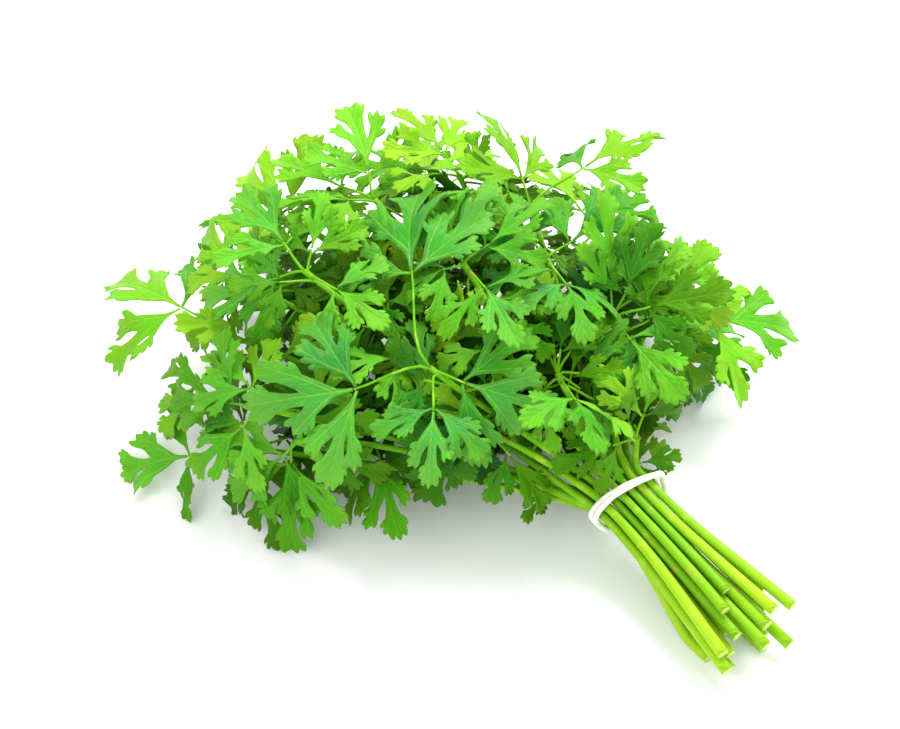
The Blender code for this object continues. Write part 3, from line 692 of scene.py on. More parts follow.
# Painted brightness of the sprays low on the stems, and of the shaded sprays that fill the crown, which are
# painted darkest.
NECK_PAINTED_LIGHT = (0.3, 0.8)
SHADE_PAINTED_LIGHT = (0.0, 0.5)
TONE_SPREAD = 0.24            # how far a leaflet's tone may lie from its sprig's
DEEP_MOST = 0.8               # how far the greenest stalk turns to the deep green
FLOOR_GAP = 0.8               # how far above the surface a pressed leaflet's upper side stays
BOX_SPARE = 1.5               # how far a leaflet's soft edge may pass the frame's box
STALK_RINGS = 40
BRANCH_RINGS = 7
STALK_SIDES = 14
BRANCH_SIDES = 8
CUT_POINTS = 14               # on a stalk's middle line before the band, and after it
RISE_POINTS = 28
FORK_SWELL = 0.28             # how much thicker a stalk is at its fork
SWELL_FADE = 9.0              # and how soon that fades behind it
# How full the stalks look beside the frame's, at these places along X.
FULL_PLACES = (-60.0, 0.0, 8.0, 20.0)
FULL_SHARES = (1.0, 1.04, 1.06, 1.14)
BRANCH_RADII = (0.62, 0.42)
RIDGE = 0.055                 # height of a stalk's ridges, as a share of its radius
BAND_SIDES = 14
BAND_FULL = 1.1               # how much thicker the strand looks than the frame's
BAND_HUG = 1.2                # how far it is drawn in to the stalks on the -Y side
BAND_HUG_LEAST = 0.25         # and the share of that on the +Y side
BAND_PRESS = 0.78             # how far the two turns are drawn together
BAND_SOFTEN = 1               # how many knots to either side round the band's route off
BAND_ROUNDS = 2               # how often its corners are then cut

VEIN_PITCH = 0.13             # between side veins along a rib: about 4.5 mm on a middling leaflet
NET_SCALE = 26.0              # meshes of the fine net of veins to a leaflet's length: about 1.4 mm each
NECK_RIGHT = 0.2              # how far the neck lies right of the picture's middle, in picture widths
NECK_DOWN = 0.153             # and below it
FLOOR_HALF = 4.0              # half the width of the paper, and how far it lies below the bunch, in metres
FLOOR_DROP = 0.0002
WORLD_LIGHT = 1.0
# Lamps: name, place in metres, width and power in watts. The key light comes from above and behind.
LAMPS = (("key", (-0.25, 0.75, 1.30), 1.0, 33.0), ("fill", (0.3, -1.2, 0.9), 1.2, 9.0))

PATCH_GREEN = "#8FD02E"
FIBRE_GREEN = "#B6DC44"
PITH_GREEN = "#D8E98A"
# Tones of the sprigs' leaflets: 0 is yellow-green, 0.5 full green and 1 blue-green.
TONES = (0.92, 0.50, 0.25, 0.30, 0.45, 0.22, 0.78, 0.55, 0.42, 0.50, 0.40, 0.45, 0.28,
         0.58, 0.50, 0.15, 0.38, 0.68, 0.22, 0.30, 0.32, 0.60, 0.28, 0.28, 0.38, 0.35)


# ---------------------------------------------------------------- flat leaflets
def lobe_edge(foot, tip, side, bulge, teeth, depth):
    """Points of a wedge's edge from its foot to near its tip: smooth at first, then with pointed teeth."""
    foot, tip = np.array(foot), np.array(tip)
    ahead = (tip - foot) / np.linalg.norm(tip - foot)
    out = np.array((ahead[1], -ahead[0])) * side

    def margin(part):
        return foot + (tip - foot) * part + out * bulge * math.sin(math.pi * part**BULGE_LATE)

    points = [margin(part) for part in (0.0, TOOTH_START * 0.33, TOOTH_START * 0.66, TOOTH_START)]
    step = (1.0 - TOOTH_START) / (teeth + TOOTH_SPARE)
    for tooth in range(teeth):
        start = TOOTH_START + tooth * step
        size = depth * (1.0 - TOOTH_FADE * tooth)
        points += [margin(start + part * step) + out * size * aside + ahead * size * on
                   for part, aside, on in TOOTH]
    return points + [tip - ahead * behind + out * aside for behind, aside in LOBE_END]


def leaf_outline(draw, right_share, left_share):
    """Outline of a three-lobed leaflet, anticlockwise from its foot, with the tips of its lobes."""
    tip = (draw.uniform(-TIP_SWAY, TIP_SWAY), 1.0)
    edges = []
    tips = [tip]
    for side, share in ((1, right_share), (-1, left_share)):
        lobe_tip = (side * draw.uniform(*LOBE_ACROSS) * share, draw.uniform(*LOBE_ALONG))
        notch = (side * draw.uniform(*NOTCH_ACROSS), draw.uniform(*NOTCH_ALONG))
        base = (side * LOBE_FOOT[0], LOBE_FOOT[1])
        outer = lobe_edge(base, lobe_tip, side, draw.uniform(*OUTER_BULGE), draw.choice(TEETH),
                          draw.uniform(*OUTER_DEPTH))
        inner = lobe_edge(notch, lobe_tip, -side, draw.uniform(*INNER_BULGE), 1, draw.uniform(*INNER_DEPTH))
        middle = lobe_edge(notch, tip, side, draw.uniform(*MIDDLE_BULGE), draw.choice(TEETH),
                           draw.uniform(*MIDDLE_DEPTH))
        foot = [np.array((side * across, along)) for across, along in FOOT_EDGE]
        edges.append(foot + outer + [np.array(lobe_tip)] + inner[:0:-1] + middle)
        tips.append(lobe_tip)
    right, left = edges
    return right + [np.array(tip)] + left[::-1], tips


def cut(work, place, normal):
    """Adds edges along a line across a flat leaflet."""
    bmesh.ops.bisect_plane(work, geom=work.verts[:] + work.edges[:] + work.faces[:], dist=CUT_MERGE,
                           plane_co=(*place, 0.0), plane_no=(*normal, 0.0))


class FlatLeaf:
    """A flat leaflet, one long, with edges along its ribs and a map of how its veins run."""

    def __init__(self, name, draw, grid, right_share, left_share):
        outline, tips = leaf_outline(draw, right_share, left_share)
        work = bmesh.new()
        work.faces.new([work.verts.new((x, y, 0.0)) for x, y in outline])
        for across in (0.0, RIB_HALF, -RIB_HALF):
            cut(work, (across, 0.0), (1.0, 0.0))
        for line in np.arange(grid, 0.5, grid):
            cut(work, (line, 0.0), (1.0, 0.0))
            cut(work, (-line, 0.0), (1.0, 0.0))
        for line in np.arange(grid, 1.0, grid):
            cut(work, (0.0, line), (0.0, 1.0))
        self.axes = [(np.array((0.0, 0.0)), np.array(tips[0]))]
        for tip in tips[1:]:
            start = np.array((0.0, RIB_FORK))
            run = np.array(tip) - start
            cut(work, start, (run[1], -run[0]))
            self.axes.append((start, np.array(tip)))
        bmesh.ops.triangulate(work, faces=work.faces[:])
        self.map_veins(work)
        self.mark_rims(work)
        self.mesh = bpy.data.meshes.new(name)
        work.to_mesh(self.mesh)
        work.free()
        self.flat = np.array([vert.co[:2] for vert in self.mesh.vertices])
        self.aside = np.array([min(self.span(axis, place) for axis in self.axes) for place in self.flat])

    def vein_place(self, axis, place):
        """How far a place lies to the right of an axis, and how far along it."""
        start, end = axis
        ahead = (end - start) / np.linalg.norm(end - start)
        away = np.array(place) - start
        return away[0] * ahead[1] - away[1] * ahead[0], float(away @ ahead)

    def span(self, axis, place):
        """How far a place is from a rib, counting double what lies before the rib starts."""
        across, along = self.vein_place(axis, place)
        return abs(across) + 2.0 * max(0.0, -along)

    def map_veins(self, work):
        layer = work.loops.layers.uv.new("vein")
        for face in work.faces:
            centre = face.calc_center_median()[:2]
            axis = min(self.axes, key=lambda rib: self.span(rib, centre))
            offset = axis[0][1]
            for loop in face.loops:
                across, along = self.vein_place(axis, loop.vert.co[:2])
                loop[layer].uv = (across, along + offset)

    def mark_rims(self, work):
        """Weights for the rib's thickness, and marks at the rim, where a leaflet is paler."""
        deform = work.verts.layers.deform.verify()
        rim = work.verts.layers.float.new("rim")
        for vert in work.verts:
            across, along = vert.co[:2]
            vert[deform][0] = max(0.0, 1.0 - along) if abs(across) < RIB_HALF / 2 else 0.0
            vert[rim] = 1.0 if vert.is_boundary else 0.0


def leaf_kinds(sort, count, grid, draw):
    """Flat leaflets of one sort, some for each way that a branch's leaflets turn."""
    return {side: [FlatLeaf(f"{sort}_{side}_{kind}", draw, grid, *shares) for kind in range(count)]
            for side, shares in HALF_SHARES.items()}


def middle_of(leaf):
    return leaf.root + leaf.along * leaf.length * 0.5


def painted_light_level(middles, leaf, low, high, draw):
    """Painted brightness of a leaflet: painted shade, from low where many others hang over it to high where
    none does, with a random part.
    """
    away = middles - middle_of(leaf)
    aside = np.hypot(away[:, 0], away[:, 1])
    over = (away[:, 2] > OVER_RISE) & (aside < OVER_REACH + OVER_WIDEN * away[:, 2])
    shade = OVER_SHARE * min(1.0, np.count_nonzero(over) / OVER_MOST) + draw.uniform(0.0, OVER_CHANCE)
    return high - (high - low) * min(1.0, shade)


def set_leaf(work, kind, leaf, tone, light):
    """Adds one leaflet to a mesh: a flat one of some kind, bent into its place, with its tone and its painted
    light.
    """
    first = len(work.verts)
    work.from_mesh(kind.mesh)
    work.verts.ensure_lookup_table()
    places = leaf.bend(kind.flat) + np.outer(kind.aside * leaf.length * PLEAT, leaf.face)
    places = np.clip(places, (*(plan_low[:2] - BOX_SPARE), FLOOR_GAP), plan_high + BOX_SPARE)
    tones = work.verts.layers.float["tone"]
    lights = work.verts.layers.float["light"]
    for vert, place in zip(work.verts[first:], places):
        vert.co = Vector(place) * MM - shift
        vert[tones] = tone
        vert[lights] = light


plan, crown = plan_bunch()
plan_low, plan_high = outer_corners(plan)
shift = plan_shift(plan_low, plan_high)
crown.grow = SHADE_GROW
shade_draw = random.Random(EXTRA_SEED)
neck_sprays = fill_neck(crown, plan, shade_draw)
shaded = [fill_sprig(crown, sprig, stalk, plan_low, plan_high, shade_draw)
          for sprig, (stalk, _) in enumerate(plan)]


# ---------------------------------------------------------------- stalks and the band
def evenly(points, radii, count):
    """A route and its radii at evenly spaced places, and how far along it these lie."""
    along = lengths_along(points)
    marks = np.linspace(0.0, along[-1], count)
    route = np.column_stack([np.interp(marks, along, column) for column in points.T])
    return route, np.interp(marks, along, radii), marks


def ring_places(points, radii, closed):
    """A matrix for each ring of a tube, with Z along the route and no twist from one to the next."""
    count = len(points)
    places = []
    side = np.array((0.0, 0.0, 1.0))
    for index in range(count):
        before = points[index - 1] if closed or index else points[0]
        after = points[(index + 1) % count] if closed or index < count - 1 else points[-1]
        way = unit(after - before)
        side = unit(side - way * side.dot(way))
        other = np.cross(way, side)
        axes = np.column_stack((side, other, way)) * radii[index] * MM
        place = Matrix(axes.tolist()).to_4x4()
        place.translation = Vector(points[index]) * MM - shift
        places.append(place)
    return places


def grow_tube(work, points, radii, marks, sides, ridge=0.0, closed=False):
    """Adds a tube to a mesh, ring by ring. Its map runs once round and, in metres, along it."""
    layer = work.loops.layers.uv["run"]
    places = ring_places(points, radii, closed)
    ring = bmesh.ops.create_circle(work, cap_ends=not closed, segments=sides, radius=1.0)["verts"]
    for turn, vert in enumerate(ring):
        vert.co *= 1.0 - ridge * (turn % 2)
    order = {vert: turn for turn, vert in enumerate(ring)}
    bmesh.ops.transform(work, matrix=places[0], verts=ring)
    first = list(dict.fromkeys(edge for vert in ring for edge in vert.link_edges))
    edges = first
    faces = list(ring[0].link_faces)
    for start, (old, new) in enumerate(zip(places, places[1:])):
        grown = bmesh.ops.extrude_edge_only(work, edges=edges)["geom"]
        verts = [item for item in grown if isinstance(item, bmesh.types.BMVert)]
        for vert in verts:
            order[vert] = next(order[edge.other_vert(vert)] for edge in vert.link_edges
                               if edge.other_vert(vert) in order)
        bmesh.ops.transform(work, matrix=new @ old.inverted(), verts=verts)
        edges = [item for item in grown if isinstance(item, bmesh.types.BMEdge)
                 and all(vert in verts for vert in item.verts)]
        walls = [item for item in grown if isinstance(item, bmesh.types.BMFace)]
        map_walls(walls, layer, order, set(verts), sides, marks[start], marks[start + 1])
        faces += walls
    if closed:
        walls = bmesh.ops.bridge_loops(work, edges=edges + first)["faces"]
        map_walls(walls, layer, order, set(ring), sides, marks[-2], marks[-1])
    else:
        walls = bmesh.ops.holes_fill(work, edges=edges, sides=sides)["faces"]
        for loop in walls[0].loops:
            loop[layer].uv = (0.0, marks[-1] * MM)
    faces += walls
    bmesh.ops.recalc_face_normals(work, faces=faces)
    return faces


def map_walls(walls, layer, order, upper, sides, low, high):
    """Maps one ring of a tube's walls, with its upper corners further along than the others."""
    for wall in walls:
        turns = [order[vert] for vert in wall.verts]
        seam = max(turns) - min(turns) > 1
        for loop in wall.loops:
            turn = order[loop.vert]
            if seam and turn == 0:
                turn = sides
            loop[layer].uv = (turn / sides, (high if loop.vert in upper else low) * MM)


def stalk_route(stalk):
    """The smooth middle line of a stalk from its cut end to its fork, with its radii."""
    foot, cut_pulls, cut_radius, radius, pulls = stalk
    below = np.array([*foot, *sweep(*cut_pulls, CUT_POINTS)])
    above = sweep(*pulls, RISE_POINTS)
    swell = FORK_SWELL * np.exp(-np.linspace(0.0, SWELL_FADE, len(above))[::-1])
    radii = np.concatenate((np.linspace(cut_radius, radius, len(below)),
                            np.linspace(radius, FORK_RADIUS, len(above)) + swell))
    points, radii, marks = evenly(np.vstack((below, above)), radii, STALK_RINGS)
    return points, radii * np.interp(points[:, 0], FULL_PLACES, FULL_SHARES), marks


def rounded(points):
    """A closed route with its corners cut off."""
    after = np.roll(points, -1, axis=0)
    return np.stack((points * 0.75 + after * 0.25, points * 0.25 + after * 0.75), axis=1).reshape(-1, 3)


def band_line():
    """The frame's band route, drawn in to the stalks and together, and rounded without shrinking."""
    knots = np.array(band_route())
    inward = np.array((0.0, 0.0, NECK_HEIGHT)) - knots
    inward[:, 0] = 0.0
    inward /= np.linalg.norm(inward, axis=1)[:, None]
    turns = math.pi * np.arange(len(knots)) / BAND_STEPS
    hug = BAND_HUG * (BAND_HUG_LEAST + (1 - BAND_HUG_LEAST) * np.sin(turns) ** 2)
    knots += inward * hug[:, None]
    slant = BAND_SKEW * knots[:, 1]
    knots[:, 0] = slant + (knots[:, 0] - slant) * BAND_PRESS
    middle = knots.mean(axis=0)
    spans = range(-BAND_SOFTEN, BAND_SOFTEN + 1)
    points = sum(np.roll(knots, span, axis=0) for span in spans) / len(spans)
    size = np.linalg.norm(knots - middle, axis=1).mean() / np.linalg.norm(points - middle, axis=1).mean()
    points = middle + (points - middle) * size
    for _ in range(BAND_ROUNDS):
        points = rounded(points)
    return points


def finished(name, work, material_names, node):
    """A finished piece from a mesh: it rides on the bunch and stands for its node of the frame."""
    mesh = bpy.data.meshes.new(name)
    work.to_mesh(mesh)
    work.free()
    mesh.shade_smooth()
    for material_name in material_names:
        mesh.materials.append(bpy.data.materials[material_name])
    piece = bpy.data.objects.new(name, mesh)
    bpy.context.scene.collection.objects.link(piece)
    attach(piece, "root")
    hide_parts(node)
    return piece


# ---------------------------------------------------------------- materials
def linear(code):
    """An sRGB hex value as linear red, green, blue and alpha."""
    parts = [int(code[start:start + 2], 16) / 255 for start in (1, 3, 5)]
    return (*[part / 12.92 if part <= 0.04045 else ((part + 0.055) / 1.055) ** 2.4 for part in parts], 1.0)


def add_node(tree, kind, inputs=(), output=0, stops=(), **settings):
    """Adds a node with its settings, gives its inputs values or links, and returns one of its outputs."""
    node = tree.nodes.new("ShaderNode" + kind)
    for name, value in settings.items():
        setattr(node, name, value)
    for place, value in inputs.items() if isinstance(inputs, dict) else enumerate(inputs):
        if isinstance(value, bpy.types.NodeSocket):
            tree.links.new(value, node.inputs[place])
        else:
            node.inputs[place].default_value = value
    for _ in stops[2:]:
        node.color_ramp.elements.new(0.5)
    for index, (place, colour) in enumerate(stops):
        node.color_ramp.elements[index].position = place
        node.color_ramp.elements[index].color = colour
    return node.outputs[output] if node.outputs else node


def new_material(name):
    finish = bpy.data.materials.new(name)
    finish.use_nodes = True
    finish.node_tree.nodes.clear()
    return finish.node_tree


def leaf_veins(tree):
    """Where the ribs, side veins and fine net of a leaflet lie, and how its blade swells between them."""
    place = add_node(tree, "UVMap", uv_map="vein")
    across = add_node(tree, "SeparateXYZ", [place])
    along = across.node.outputs["Y"]
    aside = add_node(tree, "Math", [across], operation="ABSOLUTE")
    half = add_node(tree, "Math", [along, -0.007, 0.0105], operation="MULTIPLY_ADD")
    rib = add_node(tree, "Math", [aside, half], operation="DIVIDE")
    rib = add_node(tree, "MapRange", [rib, 1.4, 0.3], interpolation_type="SMOOTHSTEP")
    sway = add_node(tree, "TexNoise", {"Vector": place, "Scale": 9.0, "Detail": 1.0})
    ahead = add_node(tree, "Math", [aside, -1.9, along], operation="MULTIPLY_ADD")
    ahead = add_node(tree, "Math", [sway, 0.05, ahead], operation="MULTIPLY_ADD")
    swell = add_node(tree, "Math", [ahead, VEIN_PITCH / 2], operation="PINGPONG")
    swell = add_node(tree, "Math", [swell, 2 / VEIN_PITCH], operation="MULTIPLY")
    side_vein = add_node(tree, "MapRange", [swell, 0.22, 0.02], interpolation_type="SMOOTHSTEP")
    cells = add_node(tree, "TexVoronoi", {"Vector": place, "Scale": NET_SCALE}, feature="DISTANCE_TO_EDGE")
    net = add_node(tree, "MapRange", [cells, 0.16, 0.02], interpolation_type="SMOOTHSTEP")
    return rib, side_vein, net, swell


def leaf_material(name, looks, under):
    """Living parsley leaf: a waxy skin over soft green tissue that lets light through, paler underneath."""
    tree = new_material(name)
    rib, side_vein, net, swell = leaf_veins(tree)
    # The light attribute holds each leaflet's painted light and shade.
    tone, light, rim = (add_node(tree, "Attribute", output="Fac", attribute_name=mark)
                        for mark in ("tone", "light", "rim"))
    colour = add_node(tree, "ValToRGB", [tone], stops=(
        (0.0, (*looks.yellow_green, 1.0)), (0.5, (*looks.full_green, 1.0)), (1.0, (*looks.blue_green, 1.0))))
    spot = add_node(tree, "TexCoord", output="Object")
    # Patches some 15 mm across where the leaf has grown unevenly.
    patches = add_node(tree, "TexNoise", {"Vector": spot, "Scale": 70.0, "Detail": 3.0, "Roughness": 0.6})
    patches = add_node(tree, "MapRange", [patches, 0.35, 0.75], interpolation_type="SMOOTHSTEP")
    # A leaflet is deeper green at its foot and yellower and brighter towards its teeth.
    ahead = add_node(tree, "SeparateXYZ", [add_node(tree, "UVMap", uv_map="vein")]).node.outputs["Y"]
    young = add_node(tree, "MapRange", [ahead, 0.25, 1.0, 0.0, 0.22], interpolation_type="SMOOTHSTEP")
    # Painted shade: the light attribute darkens the colour, red and blue more than green, so that shaded
    # leaflets look deeper and more saturated.
    painted_shade = add_node(tree, "Math", [light, 0.85, 0.28], operation="MULTIPLY_ADD")
    red = add_node(tree, "Math", [painted_shade, 1.25], operation="POWER")
    blue = add_node(tree, "Math", [painted_shade, 1.6], operation="POWER")
    painted_shade = add_node(tree, "CombineColor", [red, painted_shade, blue])
    # Painted sheen: the leaflets with the most painted light are mixed towards a pale colour in place of a
    # glossy highlight.
    painted_sheen = add_node(tree, "MapRange", [light, 0.55, 0.95, 0.0, 0.09], interpolation_type="SMOOTHSTEP")
    veins = add_node(tree, "Math", [side_vein, 0.26], operation="MULTIPLY")
    for part, share in ((rib, 0.45), (net, 0.05), (rim, 0.10)):
        veins = add_node(tree, "Math", [part, share, veins], operation="MULTIPLY_ADD")
    # The veins are paler only as far as the painted light allows, and fade in painted shade.
    veins = add_node(tree, "Math", [veins, light], operation="MULTIPLY")
    layers = [(patches, linear(PATCH_GREEN), "SOFT_LIGHT"), (young, (*looks.yellow_green, 1.0), "MIX"),
              (1.0, painted_shade, "MULTIPLY"), (painted_sheen, (*looks.painted_sheen, 1.0), "MIX"), (veins, (*looks.vein, 1.0), "MIX")]
    if under:
        layers.append((0.45, (*looks.underside, 1.0), "MIX"))
    for share, layer, blend in layers:
        colour = add_node(tree, "Mix", {0: share, 6: colour, 7: layer}, 2, data_type="RGBA", blend_type=blend)
    height = add_node(tree, "Math", [swell, 0.5], operation="MULTIPLY")
    for part, share in ((side_vein, -0.35), (rib, -0.8), (net, -0.12)):
        height = add_node(tree, "Math", [part, share, height], operation="MULTIPLY_ADD")
    relief = add_node(tree, "Bump", {"Height": height, "Strength": 0.4, "Distance": 0.0005}, invert=under)
    skin = add_node(tree, "BsdfPrincipled", {
        "Base Color": colour, "Roughness": 0.6 if under else looks.roughness, "IOR": 1.42,
        "Specular IOR Level": 0.16, "Metallic": 0.0, "Normal": relief})
    # The light through a leaflet is darkened by the same painted shade.
    through = add_node(tree, "Mix", {0: 0.5, 6: colour, 7: (*looks.through, 1.0)}, 2, data_type="RGBA")
    through = add_node(tree, "Mix", {0: 1.0, 6: through, 7: painted_shade}, 2, data_type="RGBA", blend_type="MULTIPLY")
    tissue = add_node(tree, "BsdfTranslucent", [through, relief])
    both = add_node(tree, "MixShader", [looks.translucency, skin, tissue])
    add_node(tree, "OutputMaterial", [both])


def stalk_material(name, looks):
    """Fresh herb stem: juicy and ribbed lengthways, pale where it was cut and greener to the leaves."""
    tree = new_material(name)
    run = add_node(tree, "UVMap", uv_map="run")
    round_part = add_node(tree, "SeparateXYZ", [run])
    along = round_part.node.outputs["Y"]
    tone = add_node(tree, "Attribute", output="Fac", attribute_name="tone")
    far = add_node(tree, "MapRange", [along, 0.0, 0.20], interpolation_type="SMOOTHSTEP")
    colour = add_node(tree, "ValToRGB", [far], stops=(
        (0.0, (*looks.cut_end, 1.0)), (0.4, (*looks.neck, 1.0)), (1.0, (*looks.upper, 1.0))))
    stretched = add_node(tree, "Mapping", {"Vector": run, "Scale": (14.0, 90.0, 1.0)})
    fibres = add_node(tree, "TexNoise", {"Vector": stretched, "Scale": 1.0, "Detail": 3.0})
    pale = add_node(tree, "MapRange", [fibres, 0.5, 0.85], interpolation_type="SMOOTHSTEP")
    spot = add_node(tree, "TexCoord", output="Object")
    scars = add_node(tree, "TexNoise", {"Vector": spot, "Scale": 130.0, "Detail": 2.0})
    scars = add_node(tree, "MapRange", [scars, 0.68, 0.76, 0.0, 0.7], interpolation_type="SMOOTHSTEP")
    layers = ((tone, (*looks.deep, 1.0)), (pale, linear(FIBRE_GREEN)), (scars, (*looks.scar, 1.0)))
    for share, layer in layers:
        colour = add_node(tree, "Mix", {0: share, 6: colour, 7: layer}, 2, data_type="RGBA")
    ridges = add_node(tree, "Math", [round_part, 7.0], operation="MULTIPLY")
    ridges = add_node(tree, "Math", [ridges, 0.5], operation="PINGPONG")
    height = add_node(tree, "Math", [fibres, 0.6, ridges], operation="MULTIPLY_ADD")
    relief = add_node(tree, "Bump", {"Height": height, "Strength": 0.5, "Distance": 0.0004})
    skin = add_node(tree, "BsdfPrincipled", {
        "Base Color": colour, "Roughness": looks.roughness, "IOR": 1.42, "Specular IOR Level": 0.14,
        "Metallic": 0.0, "Normal": relief})
    add_node(tree, "OutputMaterial", [skin])


def cut_material(name, looks):
    """Cut stem: wet pale pith, mottled with yellow-green, with a green ring of skin."""
    tree = new_material(name)
    spot = add_node(tree, "TexCoord", output="Object")
    pith = add_node(tree, "TexNoise", {"Vector": spot, "Scale": 900.0, "Detail": 3.0})
    colour = add_node(tree, "Mix", {0: pith, 6: linear(PITH_GREEN), 7: (*looks.cut_end, 1.0)}, 2,
                      data_type="RGBA")
    skin = add_node(tree, "BsdfPrincipled", {
        "Base Color": colour, "Roughness": 0.4, "IOR": 1.38, "Metallic": 0.0})
    add_node(tree, "OutputMaterial", [skin])


def rubber_material(name, looks):
    """Natural rubber band, extruded and cut: matt off-white with fine draw lines and a little dust."""
    tree = new_material(name)
    run = add_node(tree, "UVMap", uv_map="run")
    lines = add_node(tree, "Mapping", {"Vector": run, "Scale": (9.0, 60.0, 1.0)})
    draw_lines = add_node(tree, "TexNoise", {"Vector": lines, "Scale": 1.0, "Detail": 3.0})
    spot = add_node(tree, "TexCoord", output="Object")
    dust = add_node(tree, "TexNoise", {"Vector": spot, "Scale": 400.0, "Detail": 4.0})
    dust = add_node(tree, "MapRange", [dust, 0.45, 0.75], interpolation_type="SMOOTHSTEP")
    colour = add_node(tree, "Mix", {0: dust, 6: (*looks.colour, 1.0), 7: (*looks.dust, 1.0)}, 2,
                      data_type="RGBA")
    relief = add_node(tree, "Bump", {"Height": draw_lines, "Strength": 0.35, "Distance": 0.0002})
    skin = add_node(tree, "BsdfPrincipled", {
        "Base Color": colour, "Roughness": looks.roughness, "IOR": 1.52, "Metallic": 0.0, "Normal": relief})
    add_node(tree, "OutputMaterial", [skin])


def floor_material(name, looks):
    """White paper sweep: even, matt and very pale."""
    tree = new_material(name)
    spot = add_node(tree, "TexCoord", output="Object")
    grain = add_node(tree, "TexNoise", {"Vector": spot, "Scale": 700.0})
    relief = add_node(tree, "Bump", {"Height": grain, "Strength": 0.05, "Distance": 0.0001})
    skin = add_node(tree, "BsdfPrincipled", {
        "Base Color": (*looks.floor, 1.0), "Roughness": 0.9, "Metallic": 0.0, "Normal": relief})
    add_node(tree, "OutputMaterial", [skin])


# ---------------------------------------------------------------- settings
def colour_setting(name, description, code):
    return bpy.props.FloatVectorProperty(name=name, description=description, subtype="COLOR", size=3,
                                         default=linear(code)[:3], min=0.0, max=1.0)


def share_setting(name, description, default):
    return bpy.props.FloatProperty(name=name, description=description, subtype="FACTOR", default=default,
                                   min=0.0, max=1.0)


class LeafLooks(bpy.types.PropertyGroup):
    thickness: bpy.props.FloatProperty(
        name="Rib thickness", description="Thickness of a leaflet at its midrib; the blade has half of it",
        default=0.0007, min=0.0001, unit="LENGTH")
    roughness: share_setting("Roughness", "How matt the upper sides are", 0.42)
    translucency: share_setting("Translucency", "Share of the light that passes through a leaflet", 0.38)
    yellow_green: colour_setting("Yellow-green", "Upper side of the youngest leaflets", "#A0CC12")
    full_green: colour_setting("Full green", "Upper side of most leaflets", "#4DAC0A")
    blue_green: colour_setting("Blue-green", "Upper side of the oldest leaflets", "#25993F")
    vein: colour_setting("Veins", "Colour of the ribs and veins", "#A9DB4C")
    # Colour of the painted sheen on the leaflets that lie open to the light.
    painted_sheen: colour_setting("Sheen", "Paler colour of the leaflets that lie open to the light", "#B4DC80")
    underside: colour_setting("Underside", "Pale colour of the lower sides", "#A6D27A")
    through: colour_setting("Light through", "Colour of light that has passed a leaflet", "#8ED80C")


class StalkLooks(bpy.types.PropertyGroup):
    roughness: share_setting("Roughness", "How matt the stalks are", 0.36)
    cut_end: colour_setting("Cut end", "Colour next to the cut ends", "#A2CA20")
    neck: colour_setting("Neck", "Colour where the band holds the stalks", "#74B008")
    upper: colour_setting("Upper stalk", "Colour near the leaves", "#64AA12")
    deep: colour_setting("Deep green", "What the greener stalks turn to", "#58A00C")
    scar: colour_setting("Scars", "Colour of the dull dry spots", "#B59A3C")


class BandLooks(bpy.types.PropertyGroup):
    strand: bpy.props.FloatProperty(
        name="Strand", description="Thickness of the rubber strand", default=BAND_STRAND * BAND_FULL * MM,
        unit="LENGTH")
    roughness: share_setting("Roughness", "How matt the rubber is", 0.5)
    colour: colour_setting("Rubber", "Off-white natural rubber", "#F1F0E4")
    dust: colour_setting("Dust", "Colour of the dusty patches", "#DCDAC8")


class StageLooks(bpy.types.PropertyGroup):
    azimuth: bpy.props.FloatProperty(
        name="Azimuth", description="Where the camera stands; 0 looks along +Y", subtype="ANGLE",
        default=math.radians(50.0))
    elevation: bpy.props.FloatProperty(
        name="Elevation", description="How high the camera stands", subtype="ANGLE",
        default=math.radians(48.0))
    distance: bpy.props.FloatProperty(
        name="Distance", description="From the camera to the neck of the bunch", default=0.9, unit="LENGTH")
    lens: bpy.props.FloatProperty(
        name="Lens", description="Focal length in millimetres", default=95.0)
    floor: colour_setting("Floor", "Colour of the paper that the bunch lies on", "#FAFAFA")


